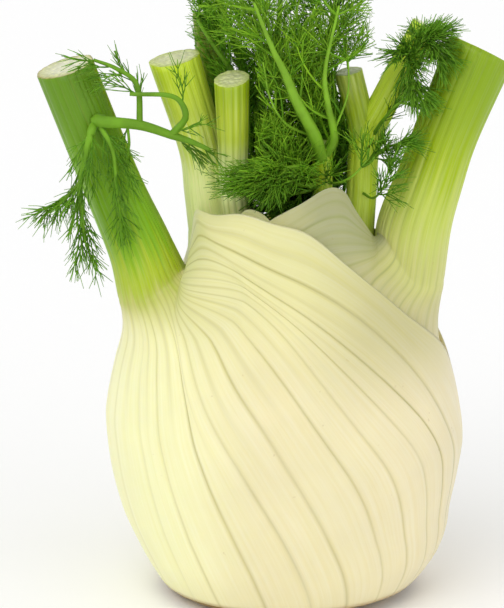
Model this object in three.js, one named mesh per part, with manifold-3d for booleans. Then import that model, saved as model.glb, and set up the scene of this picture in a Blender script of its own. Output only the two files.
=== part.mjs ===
// A fennel bulb standing on its trimmed root end, with cut stalks and feathery fronds.
// Millimetres, +Z up, -Y is the front. The origin is the middle of the root end's flat cut face.
//
// The bulb is a stack of clasping leaves on a root plate. Each leaf is one solid: a sheath that wraps
// the bulb, the stalk that grows out of it, and the feathery sprays that grow on the stalk.
// A sheath is lofted along its own ribs, which fan out of the stalk and arch over the bulb.
import * as THREE from "three";
import { mergeVertices } from "three/addons/utils/BufferGeometryUtils.js";
import Module from "manifold-3d";

const wasm = await Module();
wasm.setup();

// Driving dimensions
const plateRim = 2.2; // height of the root plate's edge
const plateRise = 0.36; // rise of the plate's cone for each millimetre in from the skin
const layerGap = 1.9; // between one sheath and the next
const marginThickness = 1.2; // a sheath's thin free edge
const sheathSwell = 5.3; // how much thicker a sheath is under its own stalk
const ribGroove = 0.5; // depth of the furrow between two ribs
const footReach = 32; // how far down a sheath the line of its stalk is still felt
const footFlare = 34; // how fast the stalk's foot widens on the way down
const backDrop = 12; // how much lower a sheath's margin runs behind the bulb than in front
const needleRadius = 0.42; // a needle is three-sided, so this makes it 0.63 mm through
const clearance = 0.4; // between a spray and the leaves it passes
const whorlHalf = 0.45; // half the height of a whorl on a side stem
const nodeHalf = 0.6; // half the height of a whorl on a spray's main rib
const sideStemRadius = 0.5;
const tipLength = 2; // how far a main rib runs on past its last whorl
const tipRadius = 0.4;
const sprayFloor = 122.5; // above the margins of the sheaths, a spray may cross the bulb's middle
const degree = Math.PI / 180;

// The bulb's half width to the left and to the right, and its half depth, at each height
const leftWidth = [
  [0, 28], [1, 32.8], [4, 35.6], [8, 38], [14, 41], [20, 43.8], [26, 46.2], [38, 49.1], [50, 50.4],
  [56, 50.3], [68, 47.9], [79, 44.6], [85, 43], [92, 39.6], [98, 35.5], [106, 30], [116, 26.5], [132, 24],
];
const rightWidth = [
  [0, 28], [1, 34], [4, 38.4], [8, 41.7], [14, 45.2], [20, 46.9], [26, 47.6], [38, 49.9], [47, 51],
  [56, 49.9], [68, 47.4], [79, 44.4], [85, 42.9], [92, 40.6], [98, 37], [106, 31], [116, 26.5], [132, 24],
];
const halfDepth = [
  [0, 24], [1, 28.5], [4, 31.5], [8, 33.6], [14, 36.3], [26, 39.5], [38, 41.5], [47, 42],
  [56, 41.6], [68, 39.6], [79, 36.6], [92, 32.4], [106, 27.6], [116, 25.4], [132, 23.5],
];

const material = (color, roughness) =>
  new THREE.MeshStandardMaterial({ color, roughness, metalness: 0 });
const rootTan = material("#d9cb9a", 0.8);
const sheathCream = material("#f0eac6", 0.45);
const sheathBuff = material("#dfdcae", 0.45);
const stalkLime = material("#b4c64f", 0.45);
const stalkGreen = material("#86a82c", 0.5);
const stalkOlive = material("#7d9a2a", 0.5);
const frondGreen = material("#4f8c12", 0.6);
const frondDeepGreen = material("#3f7310", 0.6);

const vector = ([x, y, z]) => new THREE.Vector3(x, y, z);
const mix = (a, b, t) => a + (b - a) * t;
const smooth = (low, high, x) => {
  const t = Math.min(1, Math.max(0, (x - low) / (high - low)));
  return t * t * (3 - 2 * t);
};

// A smooth curve through [x, value] rows, with slopes taken from the rows on either side.
function through(rows, x) {
  const last = rows.length - 1;
  let i = 0;
  while (i < last - 1 && x > rows[i + 1][0]) i += 1;
  const slope = (k) => {
    const before = rows[Math.max(0, k - 1)];
    const after = rows[Math.min(last, k + 1)];
    return (after[1] - before[1]) / (after[0] - before[0]);
  };
  const span = rows[i + 1][0] - rows[i][0];
  const t = Math.min(1, Math.max(0, (x - rows[i][0]) / span));
  const bend = slope(i) * (1 - t) - slope(i + 1) * t;
  const chord = rows[i + 1][1] - rows[i][1];
  return rows[i][1] + chord * t * t * (3 - 2 * t) + span * t * (1 - t) * bend;
}

// A seeded draw from 0 to 1 (mulberry32).
function seeded(seed) {
  let state = seed;
  return () => {
    state = (state + 0x6d2b79f5) | 0;
    let t = Math.imul(state ^ (state >>> 15), 1 | state);
    t = (t + Math.imul(t ^ (t >>> 7), 61 | t)) ^ t;
    return ((t ^ (t >>> 14)) >>> 0) / 4294967296;
  };
}

// A closed solid from rings of points, each with the same count, joined and capped. Where the first
// ring is a band that runs out along one edge and back along the other, outward is the number of its
// points that run out, and its cap is zipped between the two edges.
function loft(rings, outward = 0) {
  const count = rings[0].length;
  const corners = rings.flat();
  const middles = [rings[0], rings[rings.length - 1]].map((ring) =>
    ring.reduce((sum, p) => sum.add(p), new THREE.Vector3()).divideScalar(count),
  );
  const capped = count > 8 ? [...corners, ...middles] : corners;
  const faces = [];
  for (let r = 0; r < rings.length - 1; r += 1) {
    for (let c = 0; c < count; c += 1) {
      const a = r * count + c;
      const b = r * count + ((c + 1) % count);
      faces.push(a, b, b + count, a, b + count, a + count);
    }
  }
  const top = (rings.length - 1) * count;
  if (count > 8) {
    for (let c = 0; c < count; c += 1) {
      const next = (c + 1) % count;
      faces.push(top + c, top + next, corners.length + 1);
      if (!outward) faces.push(next, c, corners.length);
    }
    let [out, back] = [0, count - 1];
    while (outward && (out < outward - 1 || back > outward)) {
      const outDone = out / (outward - 1);
      const backDone = (count - 1 - back) / (count - 1 - outward);
      if (outDone <= backDone && out < outward - 1) {
        faces.push(out + 1, out, back);
        out += 1;
      } else {
        faces.push(back, back - 1, out);
        back -= 1;
      }
    }
  } else {
    for (let c = 1; c < count - 1; c += 1) {
      faces.push(0, c + 1, c, top, top + c, top + c + 1);
    }
  }
  return geometryOf(capped.flatMap((p) => [p.x, p.y, p.z]), faces);
}

function geometryOf(positions, faces) {
  return new THREE.BufferGeometry()
    .setAttribute("position", new THREE.Float32BufferAttribute(positions, 3))
    .setIndex(faces);
}

function solidOf(geometry) {
  const merged = mergeVertices(geometry, 1e-4);
  return new wasm.Manifold(
    new wasm.Mesh({
      numProp: 3,
      vertProperties: new Float32Array(merged.attributes.position.array),
      triVerts: new Uint32Array(merged.index.array),
    }),
  );
}

// Several closed geometries fused into one body and cut back from its neighbours. A loose scrap is
// dropped.
function fused(geometries, neighbours = []) {
  const whole = neighbours
    .reduce((rest, one) => rest.subtract(solidOf(one)), wasm.Manifold.union(geometries.map(solidOf)))
    .simplify(0.02);
  const body = whole
    .decompose()
    .reduce((best, one) => (one.volume() > best.volume() ? one : best));
  const mesh = body.getMesh();
  const positions = [];
  for (let i = 0; i < mesh.numVert; i += 1) {
    positions.push(...mesh.vertProperties.slice(i * mesh.numProp, i * mesh.numProp + 3));
  }
  return geometryOf(positions, [...mesh.triVerts]);
}

// A point under the bulb's skin. side is -1 for a leaf of the left and 1 for one of the right, and
// turn is the angle in degrees from the middle of that side, positive towards the front.
function skin(side, turn, z, depth) {
  const x = side * Math.cos(turn * degree);
  const a = through(x < 0 ? leftWidth : rightWidth, z) - depth;
  const b = through(halfDepth, z) - depth;
  return new THREE.Vector3(x * a, -Math.sin(turn * degree) * b, z);
}

// The clasping leaves from the outside in: the side its stalk is on, and how far the sheath swells
// out under the stalk's foot.
const layers = [
  { side: -1, foot: 7 },
  { side: 1, foot: 9 },
  { side: -1, foot: 1.5 },
  { side: 1, foot: 0 },
];

// A sheath is thick on its own stalk's side and thin across from it and towards the neck.
function thickness({ foot }, turn, z) {
  const facing = 0.5 + 0.5 * Math.cos(turn * degree);
  const thinner = 1 - 0.8 * smooth(60, 106, z);
  const swelling = foot * Math.exp(-((turn / 26) ** 2) - ((z - 90) / 15) ** 2);
  return marginThickness + sheathSwell * facing * thinner + swelling;
}

// How deep a leaf's outer face lies: under all the leaves outside it, and a gap for each.
function layerDepth(layer, turnFromLeft, z) {
  return layers.slice(0, layer).reduce((sum, outerLeaf) => {
    const turn = outerLeaf.side < 0 ? turnFromLeft : 180 - Math.abs(turnFromLeft);
    return sum + thickness(outerLeaf, turn, z) + layerGap * (1 - 0.3 * smooth(88, 100, z));
  }, 0);
}

const restHeight = (depth) => plateRim + layerGap + plateRise * depth;

// Where the ribs of a sheath run. Each row is one rib: its rank from the middle of the leaf (0) to
// the free margin (1), then [turn, height] at six stations from the stalk's foot to the root end.
// Outer ribs arch over beside the stalk before they run down.
const leftRibs = [
  [0, [0, 93], [0, 80], [0, 64], [0, 46], [0, 24], [0, 0]],
  [1 / 6, [24, 91], [27, 81], [31, 68], [36, 50], [40, 26], [42, 0]],
  [1 / 3, [38, 92], [46, 82], [54, 67], [60, 50], [69, 27], [79, 0]],
  [5 / 12, [41, 93], [50, 81], [61, 64], [74, 46], [86, 26], [98, 0]],
  [1 / 2, [42, 95], [60, 86], [75, 71], [88, 56], [103, 32], [119, 0]],
  [2 / 3, [41, 97], [64, 95], [86, 86], [108, 64], [127, 38], [142, 0]],
  [5 / 6, [38, 101], [68, 103], [97, 91], [128, 68], [148, 45], [163, 0]],
  [11 / 12, [36, 102], [67, 108], [104, 99], [138, 76], [162, 44], [172, 0]],
  [1, [34, 101], [64, 111.5], [106, 111], [141, 87], [175, 64], [179, 0]],
];
const rightRibs = [
  [0, [0, 95], [0, 80], [0, 61], [0, 40], [0, 20], [0, 0]],
  [1 / 4, [26, 97], [33, 86], [39, 68], [44, 46], [47, 23], [50, 0]],
  [1 / 2, [33, 100], [50, 94], [66, 78], [78, 56], [86, 30], [92, 0]],
  [3 / 4, [34, 103], [56, 106], [84, 98], [112, 74], [124, 40], [130, 0]],
  [1, [32, 106], [46, 120], [89, 116.5], [128, 98], [150, 52], [158, 0]],
];
const midLeftRibs = [
  [0, [0, 104], [0, 86], [0, 64], [0, 42], [0, 20], [0, 0]],
  [1 / 2, [40, 106], [46, 94], [52, 74], [58, 50], [62, 24], [64, 0]],
  [1, [44, 109], [64, 117], [86, 109], [104, 80], [112, 40], [116, 0]],
];
const forkRibs = [
  [0, [0, 102], [0, 84], [0, 62], [0, 41], [0, 20], [0, 0]],
  [1 / 2, [36, 104], [42, 90], [50, 72], [58, 50], [62, 24], [64, 0]],
  [1, [50, 104], [66, 104], [84, 92], [100, 64], [108, 32], [112, 0]],
];

// The [turn, height] of a rib at a share of its way from the stalk (0) to the root end (1).
function ribPoint(ribs, rank, share) {
  const past = Math.max(0, Math.abs(rank) - 1);
  const [turn, z] = [0, 1].map((axis) => {
    const stations = [1, 2, 3, 4, 5, 6].map((s) => [
      (s - 1) / 5,
      through(ribs.map((row) => [row[0], row[s][axis]]), Math.abs(rank)),
    ]);
    return through(stations, share);
  });
  const behind = rank < 0 ? backDrop * rank ** 2 * smooth(0, 0.15, share) : 0;
  const lowered = z + 40 * past - behind * (1 - smooth(0.3, 0.75, share));
  return [Math.sign(rank || 1) * turn, lowered];
}

// A stalk: a centre line with a radius at each [x, y, z, radius] station, and its cut end's normal.
function stalkLine(stations, cutNormal) {
  return {
    centres: new THREE.CatmullRomCurve3(stations.map(vector)),
    radii: stations.map((station, i) => [i / (stations.length - 1), station[3]]),
    cutNormal: vector(cutNormal).normalize(),
  };
}
const stalks = {
  left: stalkLine(
    [[-37.4, 0, 89, 9.8], [-40.4, 0, 100, 8.8], [-47.4, 0, 117.5, 8.2], [-60.4, 0, 151.5, 8.0]],
    [-0.3, -0.15, 1],
  ),
  right: stalkLine(
    [
      [34.4, 0, 93, 10.6], [36.7, 0, 108, 10.1], [40.4, 0, 120, 9.3],
      [44.6, 0, 133, 8.9], [53.5, 0, 155.7, 9.5],
    ],
    [0.44, 0.2, 0.88],
  ),
  midLeft: stalkLine(
    [[-19.6, 4, 106, 7.4], [-21.3, 4, 116, 6.7], [-22.9, 4, 127.5, 6.4], [-30.5, 4, 153.3, 7.1]],
    [-0.2, -0.12, 1],
  ),
  fork: stalkLine(
    [
      [20.6, 4, 102, 4.6], [21.6, 4, 115, 4.3], [22.7, 4, 130.3, 4.3],
      [27.9, 4, 141.6, 4], [38.6, 4, 162.5, 3.7],
    ],
    [0.45, 0, 0.9],
  ),
};

// A point on a stalk's wall. angle is 0 on the side away from the bulb and 90 towards the front.
// The last rings slide along the stalk onto the plane of its cut end.
function stalkWall(line, side, angle, share, sink) {
  const along = line.centres.getTangent(share);
  const front = new THREE.Vector3(0, -1, 0).addScaledVector(along, along.y).normalize();
  const outward = new THREE.Vector3().crossVectors(along, front).multiplyScalar(side).normalize();
  const radius = through(line.radii, share) - sink;
  const wall = outward
    .multiplyScalar(radius * Math.cos(angle * degree))
    .addScaledVector(front, radius * Math.sin(angle * degree));
  const slide = -wall.dot(line.cutNormal) / along.dot(line.cutNormal);
  wall.addScaledVector(along, slide * smooth(0.6, 1, share));
  return line.centres.getPoint(share).add(wall);
}

// One clasping leaf: rings that run along the outer face from margin to margin, and back inside.
// ribCount furrows lie on either side, and each rib is perRib columns wide. grow thickens the leaf all
// over, to cut its neighbours clear of it.
function claspingLeaf(leaf, grow = 0) {
  const { layer, ribs, line, ribCount, perRib, innerColumns, sheathRows, stalkRows } = leaf;
  const { side } = layers[layer];
  const columns = ribCount * 2 * perRib;
  const edge = 1 + 0.02 * Math.sign(grow);
  const outer = Array.from({ length: columns + 1 }, (_, i) => edge * (-1 + (2 * i) / columns));
  const inner = Array.from({ length: innerColumns + 1 }, (_, i) => 0.985 - (1.97 * i) / innerColumns);
  const furrow = (rank) => 1 - Math.abs(Math.sin(Math.PI * ribCount * rank)) ** 0.7;

  // rise is 0 at the root end and 1 at the stalk's foot, where the sheath closes into the stalk.
  const sheathPoint = (rank, rise, isInner) => {
    const [turn, ribZ] = ribPoint(ribs, rank, 1 - rise);
    const above = layerDepth(layer, side < 0 ? turn : 180 - Math.abs(turn), ribZ);
    const thick = thickness(layers[layer], turn, ribZ);
    const bevel = (thick - marginThickness) * smooth(0.88, 1, Math.abs(rank));
    const fade = smooth(0, 0.1, rise) * (1 - smooth(0.95, 1, Math.abs(rank)));
    const groove = ribGroove * furrow(rank) * fade;
    const depth = above + (isInner ? thick + grow : bevel + groove - grow);
    const z = ribZ + restHeight(depth) * (1 - smooth(0, 0.35, rise));
    const angle = isInner ? 180 - rank * 76 : rank * 102;
    const below = line.centres.getTangent(0).multiplyScalar(-footReach * (1 - rise));
    const flare = isInner ? 0 : footFlare * (1 - rise) ** 1.3;
    return skin(side, turn, z, depth).lerp(
      stalkWall(line, side, angle, 0, -flare - grow).add(below),
      smooth(0.7, 1, rise),
    );
  };
  const rings = [];
  for (let r = 0; r <= sheathRows; r += 1) {
    // Rows lie closer together near the root end, where the bulb curves most.
    const rise = mix(r / sheathRows, (r / sheathRows) ** 2, 0.5);
    rings.push([
      ...outer.map((rank) => sheathPoint(rank, rise, false)),
      ...inner.map((rank) => sheathPoint(rank, rise, true)),
    ]);
  }
  for (let r = 1; r <= stalkRows; r += 1) {
    const share = r / stalkRows;
    const ridge = (rank) => 0.25 * furrow(rank) * (1 - smooth(0.9, 1, Math.abs(rank)));
    rings.push([
      ...outer.map((rank) => stalkWall(line, side, rank * 102, share, ridge(rank) - grow)),
      ...inner.map((rank) => stalkWall(line, side, 180 - rank * 76, share, -grow)),
    ]);
  }
  // Seen from above, the right side's rings run the other way round.
  if (side < 0) return loft(rings, outer.length);
  return loft(rings.map((ring) => [...ring].reverse()), inner.length);
}

// A tapering stick along points, with a radius at each.
function stick(points, radii, sides) {
  const rings = points.map((point, i) => {
    const before = points[Math.max(0, i - 1)];
    const after = points[Math.min(points.length - 1, i + 1)];
    const along = new THREE.Vector3().subVectors(after, before).normalize();
    const across = new THREE.Vector3(0, -1, 0).cross(along).normalize();
    const over = new THREE.Vector3().crossVectors(along, across);
    return Array.from({ length: sides }, (_, s) => {
      const angle = (s / sides) * 2 * Math.PI;
      return point
        .clone()
        .addScaledVector(across, radii[i] * Math.cos(angle))
        .addScaledVector(over, radii[i] * Math.sin(angle));
    });
  });
  return loft(rings);
}

// A round stem through [x, y, z, radius] stations.
function stem(stations, rows, sides) {
  const curve = new THREE.CatmullRomCurve3(stations.map(vector));
  const radii = stations.map((station, i) => [i / (stations.length - 1), station[3]]);
  const shares = Array.from({ length: rows + 1 }, (_, i) => i / rows);
  const points = shares.map((share) => curve.getPoint(share));
  return stick(points, shares.map((share) => through(radii, share)), sides);
}

// The shortest distance between two straight sticks.
function distance(a, b, c, d) {
  const u = new THREE.Vector3().subVectors(b, a);
  const v = new THREE.Vector3().subVectors(d, c);
  const w = new THREE.Vector3().subVectors(a, c);
  const [uu, uv, vv, uw, vw] = [u.dot(u), u.dot(v), v.dot(v), u.dot(w), v.dot(w)];
  const crossing = uu * vv - uv * uv;
  const clamp = (x) => Math.min(1, Math.max(0, x));
  let s = crossing > 1e-9 ? clamp((uv * vw - vv * uw) / crossing) : 0;
  const t = clamp((uv * s + vw) / vv);
  s = clamp((uv * t - uw) / uu);
  return w.addScaledVector(u, s).addScaledVector(v, -t).length();
}

// Everything a spray has to keep clear of, as straight pieces with a radius and the leaf they are on
const obstacles = [];
function block(owner, stations) {
  stations.slice(1).forEach((station, i) => {
    const from = stations[i];
    obstacles.push({ owner, a: vector(from), b: vector(station), r: Math.max(from[3], station[3]) });
  });
}
function blockStalk(owner, line) {
  const stations = Array.from({ length: 13 }, (_, i) => {
    const p = line.centres.getPoint(i / 12);
    return [p.x, p.y, p.z, through(line.radii, i / 12)];
  });
  block(owner, stations);
}
// parent is the stick that this one grows from. Sticks of the same leaf only have to miss each other.
function clearOf(owner, parent, a, b, r) {
  const past = a.clone().lerp(b, 0.35);
  return obstacles.every((o) => {
    if (o === parent) return true;
    if (o.owner === owner) return distance(past, b, o.a, o.b) > o.r + r;
    return distance(a, b, o.a, o.b) > o.r + r + clearance;
  });
}

// Whether a point is well outside the bulb, or above the margins of its sheaths.
function outsideBulb(p) {
  if (p.z > sprayFloor) return true;
  const a = through(p.x < 0 ? leftWidth : rightWidth, p.z) + 1.5;
  const b = through(halfDepth, p.z) + 1.5;
  return (p.x / a) ** 2 + (p.y / b) ** 2 > 1;
}

// A feathery spray as one closed mesh: a rachis through [x, y, z, radius] stations, side stems on it,
// and whorls of needles on those. Each grows out of a face of the stick that bears it. Whatever would
// touch another leaf is turned, or left off.
function spray({ owner, rachis, from = 0.12, stems, reach, whorls, needleLength, room, seed }) {
  const draw = seeded(seed);
  const positions = [];
  const faces = [];
  const corner = (i) => new THREE.Vector3().fromArray(positions, 3 * i);
  const middleOf = (ring) =>
    ring.reduce((sum, i) => sum.add(corner(i)), new THREE.Vector3()).divideScalar(ring.length);
  const addPoint = (p) => positions.push(p.x, p.y, p.z) / 3 - 1;

  // The next ring of a stick: centred further on, square to its way, and twisted a little.
  const carry = (ring, centre, way, radius, twist) => {
    const first = corner(ring[0]).sub(middleOf(ring));
    first.addScaledVector(way, -first.dot(way)).normalize().applyAxisAngle(way, twist);
    const second = new THREE.Vector3().crossVectors(way, first);
    return ring.map((_, k) => {
      const angle = (2 * Math.PI * k) / ring.length;
      return addPoint(
        centre
          .clone()
          .addScaledVector(first, radius * Math.cos(angle))
          .addScaledVector(second, radius * Math.sin(angle)),
      );
    });
  };
  const wall = (lower, upper, open = []) => {
    lower.forEach((_, k) => {
      const next = (k + 1) % lower.length;
      if (!open.includes(k)) faces.push(lower[k], lower[next], upper[next]);
      faces.push(lower[k], upper[next], upper[k]);
    });
  };
  const cap = (ring) => {
    for (let k = 1; k < ring.length - 1; k += 1) faces.push(ring[0], ring[k], ring[k + 1]);
  };

  // A whorl: short walls between two rings, some of whose faces open into sticks of their own.
  const whorl = (lower, upper, way, count, length, lean, parent, growOn) => {
    const open = [];
    const start = Math.floor(draw() * lower.length);
    for (let i = 0; i < lower.length && open.length < count; i += 1) {
      const k = (start + i * 2) % lower.length;
      if (open.includes(k)) continue;
      const foot = [lower[k], lower[(k + 1) % lower.length], upper[(k + 1) % lower.length]];
      const [a, b, c] = foot.map(corner);
      const base = middleOf(foot);
      const normal = b.clone().sub(a).cross(c.clone().sub(a)).normalize();
      for (let attempt = 0; attempt < 6; attempt += 1) {
        const stray = new THREE.Vector3(draw() - 0.5, draw() - 0.5, draw() - 0.5);
        const out = normal.clone().addScaledVector(way, lean).addScaledVector(stray, 0.9).normalize();
        const tip = base.clone().addScaledVector(out, length * mix(0.8, 1.2, draw()));
        const inRoom = outsideBulb(tip) && (!room || room(tip));
        if (out.dot(normal) < 0.3 || !inRoom) continue;
        if (!clearOf(owner, parent, base, tip, needleRadius)) continue;
        const placed = { owner, a: base, b: tip, r: needleRadius };
        obstacles.push(placed);
        open.push(k);
        growOn(foot, base, tip, out, placed);
        break;
      }
    }
    wall(lower, upper, open);
  };

  const needle = (foot, base, tip, way) => {
    const end = carry(foot, tip, way, needleRadius, 0);
    wall(foot, end);
    cap(end);
  };
  const sideStem = (foot, base, tip, way, placed) => {
    const length = tip.distanceTo(base);
    const count = Math.max(1, Math.round((whorls * length) / reach));
    let ring = foot;
    for (let w = 0; w < count; w += 1) {
      const along = length * mix(0.3, 0.9, (w + 0.5) / count);
      const start = base.clone().addScaledVector(way, along - whorlHalf);
      const end = base.clone().addScaledVector(way, along + whorlHalf);
      const lower = carry(ring, start, way, sideStemRadius, 0.5);
      const upper = carry(lower, end, way, sideStemRadius, 0);
      wall(ring, lower);
      whorl(lower, upper, way, 2 + (w % 2), needleLength, 0.8, placed, needle);
      ring = upper;
    }
    needle(ring, base, tip, way);
  };

  const curve = new THREE.CatmullRomCurve3(rachis.map(vector));
  const radii = rachis.map((station, i) => [i / (rachis.length - 1), station[3]]);
  block(owner, rachis);
  const bottom = curve.getTangent(0);
  const across = new THREE.Vector3(0.4, -0.8, 0.3).cross(bottom).normalize();
  const over = new THREE.Vector3().crossVectors(bottom, across);
  let ring = [0, 1, 2, 3].map((k) => {
    const angle = (k / 4) * 2 * Math.PI;
    const radius = rachis[0][3];
    return addPoint(
      curve
        .getPoint(0)
        .addScaledVector(across, radius * Math.cos(angle))
        .addScaledVector(over, radius * Math.sin(angle)),
    );
  });
  cap([...ring].reverse());
  const total = curve.getLength();
  for (let s = 0; s < stems; s += 1) {
    const share = mix(from, 0.97, s / (stems - 1));
    const way = curve.getTangent(share);
    const radius = through(radii, share);
    const half = nodeHalf / total;
    const lower = carry(ring, curve.getPoint(share - half), way, radius, 0.35);
    const upper = carry(lower, curve.getPoint(Math.min(1, share + half)), way, radius, 0);
    wall(ring, lower);
    whorl(lower, upper, way, 1 + (s % 2), reach * mix(1, 0.6, s / stems), 0.7, null, sideStem);
    ring = upper;
  }
  const way = curve.getTangent(1);
  const end = carry(ring, curve.getPoint(1).addScaledVector(way, tipLength), way, tipRadius, 0);
  wall(ring, end);
  cap(end);
  return geometryOf(positions, faces);
}

const object = new THREE.Group();
function piece(name, geometry, look) {
  const mesh = new THREE.Mesh(geometry, look);
  mesh.name = name;
  object.add(mesh);
}

// The root plate: the stem's disc under all the leaves, trimmed flat underneath.
const ellipseRing = (a, b, z) =>
  Array.from({ length: 32 }, (_, i) => {
    const angle = (i / 32) * 2 * Math.PI;
    return new THREE.Vector3(a * Math.cos(angle), b * Math.sin(angle), z);
  });
const plateRings = [
  ellipseRing(27, 23, 0),
  ellipseRing(30.5, 26.4, 0.7),
  ellipseRing(33.6, 29.2, plateRim),
];
for (const inwards of [8, 16, 22]) {
  plateRings.push(ellipseRing(34.6 - inwards, 30.2 - inwards, plateRim + plateRise * inwards));
}
piece("root_plate", loft(plateRings), rootTan);

// Every stem is listed before the first spray, so that the sprays can keep clear of them all.
const stubStations = [
  [-5, -5, 22, 4], [-7, -5, 55, 6], [-7.5, -5, 85, 5], [-8, -5.5, 100, 3.9], [-11, -6.4, 110, 3.8],
  [-14, -7.5, 121, 4], [-14.2, -7.5, 132, 4.3], [-14.5, -7.5, 149.5, 4.9],
];
const backStations = [
  [-6, 8, 22, 4], [-9, 8.5, 60, 5], [-8, 8, 90, 4], [-9.5, 9, 102, 3.8], [-14, 12.5, 115, 4],
  [-19.2, 15.5, 136.7, 4.2], [-21.3, 16, 164.3, 4.4],
];
const youngStations = [
  [4, -2, 24, 4], [6, -2, 60, 7], [8, -3, 95, 4.4], [10.4, -4, 115, 2.9], [10.3, -4, 128.5, 2.9],
  [10.2, -4, 130.6, 3.7],
];
const youngLeftStem = [
  [10, -4.5, 127, 1.9], [8.2, -6, 134, 1.8], [3, -8, 144.6, 1.6], [-0.1, -9, 152.2, 1.3],
  [-3.6, -10, 159.2, 1.0], [-7.5, -11, 166, 0.8],
];
const youngRightStem = [
  [10.6, -3.8, 127, 1.4], [12.6, -3.6, 132.5, 1.1], [10.6, -4, 143, 1.0], [10.1, -4, 151.4, 0.9],
  [11.4, -3, 163, 0.7],
];
const innerStations = [
  [0, 6, 24, 2.6], [0, 6.5, 70, 2.8], [-1, 6.5, 112, 1.9], [-6.2, 8, 135, 1.5], [-12.3, 9, 152, 1.1],
  [-18, 9.5, 164.5, 0.8],
];
blockStalk("left", stalks.left);
blockStalk("right", stalks.right);
blockStalk("midLeft", stalks.midLeft);
blockStalk("fork", stalks.fork);
block("stub", stubStations);
block("back", backStations);
block("young", youngStations);
block("young", youngLeftStem);
block("young", youngRightStem);
block("inner", innerStations);
const forkStub = [[22.6, 4, 126, 3.6], [20.4, 4, 138.8, 3.8], [17.6, 4, 149.6, 4]];
block("fork", forkStub);

const leftLeaf = {
  layer: 0, ribs: leftRibs, line: stalks.left,
  ribCount: 12, perRib: 2, innerColumns: 24, sheathRows: 14, stalkRows: 3,
};
const rightLeaf = {
  layer: 1, ribs: rightRibs, line: stalks.right,
  ribCount: 9, perRib: 2, innerColumns: 20, sheathRows: 13, stalkRows: 3,
};
const midLeftLeaf = {
  layer: 2, ribs: midLeftRibs, line: stalks.midLeft,
  ribCount: 5, perRib: 2, innerColumns: 10, sheathRows: 10, stalkRows: 3,
};
const forkLeaf = {
  layer: 3, ribs: forkRibs, line: stalks.fork,
  ribCount: 4, perRib: 2, innerColumns: 8, sheathRows: 9, stalkRows: 5,
};
const sideBranch = [
  [-50.5, -4, 137.6, 1.7], [-50.8, -9.8, 138.2, 1.8], [-39.5, -10, 137.2, 1.7],
  [-30.3, -10, 134.2, 1.5], [-20.5, -12.5, 130.9, 0.8],
];
const leftSprays = [
  spray({
    owner: "left", seed: 3, from: 0.5, stems: 5, reach: 6, whorls: 2, needleLength: 5,
    rachis: sideBranch,
  }),
  spray({
    owner: "left", seed: 5, stems: 7, reach: 5.5, whorls: 2, needleLength: 4.5,
    rachis: [
      [-31, -10, 134.4, 1], [-27, -11.5, 139.9, 0.9],
      [-29.5, -12, 145, 0.8], [-42.1, -11, 146, 0.6],
    ],
  }),
  spray({
    owner: "left", seed: 9, stems: 7, reach: 7, whorls: 2, needleLength: 5,
    rachis: [
      [-39.5, -10, 137.2, 0.9], [-40.5, -9, 148.6, 0.8],
      [-46, -9, 152.7, 0.7], [-50, -9, 154, 0.6],
    ],
  }),
  spray({
    owner: "left", seed: 14, stems: 8, reach: 9, whorls: 2, needleLength: 6,
    rachis: [
      [-53, -5, 138, 1.2], [-51.6, -9.8, 137, 1.2], [-54.6, -12, 127.7, 1.1],
      [-58.6, -12.5, 119.6, 0.9], [-57, -12, 109.5, 0.7], [-54, -11.5, 101, 0.6],
    ],
  }),
  spray({
    owner: "left", seed: 21, from: 0.3, stems: 4, reach: 6, whorls: 2, needleLength: 5,
    rachis: [[-56.6, -12.3, 122.6, 0.8], [-61, -11.5, 116, 0.7], [-64.5, -10.5, 114, 0.6]],
  }),
];
piece("leaf_left", fused([claspingLeaf(leftLeaf), ...leftSprays]), sheathCream);

const besideLeft = claspingLeaf(leftLeaf, 2 * clearance);
const besideRight = claspingLeaf(rightLeaf, clearance);
piece("leaf_right", fused([claspingLeaf(rightLeaf)], [besideLeft]), sheathBuff);
piece(
  "leaf_mid_left",
  fused([claspingLeaf(midLeftLeaf)], [besideLeft, besideRight]),
  stalkLime,
);

const forkSprays = [
  spray({
    owner: "fork", seed: 34, stems: 5, reach: 8, whorls: 2, needleLength: 6,
    rachis: [[37.4, 4, 160.2, 1.2], [35.6, 0, 163, 0.9], [39, -5, 161.5, 0.8], [43.4, -10.5, 156, 0.6]],
  }),
  spray({
    owner: "fork", seed: 55, stems: 5, reach: 7, whorls: 2, needleLength: 5.5,
    rachis: [[24, 2, 133, 1], [27.5, -3, 139, 0.9], [31.2, -7, 143.4, 0.7], [34.5, -11, 142.5, 0.6]],
  }),
  spray({
    owner: "fork", seed: 89, stems: 5, reach: 6, whorls: 3, needleLength: 5,
    rachis: [[22, 2, 120, 1], [23.4, -4, 127, 0.8], [25.5, -8, 131, 0.6]],
  }),
];
piece(
  "leaf_fork",
  fused([claspingLeaf(forkLeaf), stem(forkStub, 2, 10), ...forkSprays], [besideRight]),
  stalkGreen,
);

const besideMidLeft = claspingLeaf(midLeftLeaf, clearance);
piece("leaf_stub", fused([stem(stubStations, 10, 11)], [besideMidLeft]), stalkLime);
piece("leaf_back", fused([stem(backStations, 10, 10)], [besideMidLeft]), stalkOlive);

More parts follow.
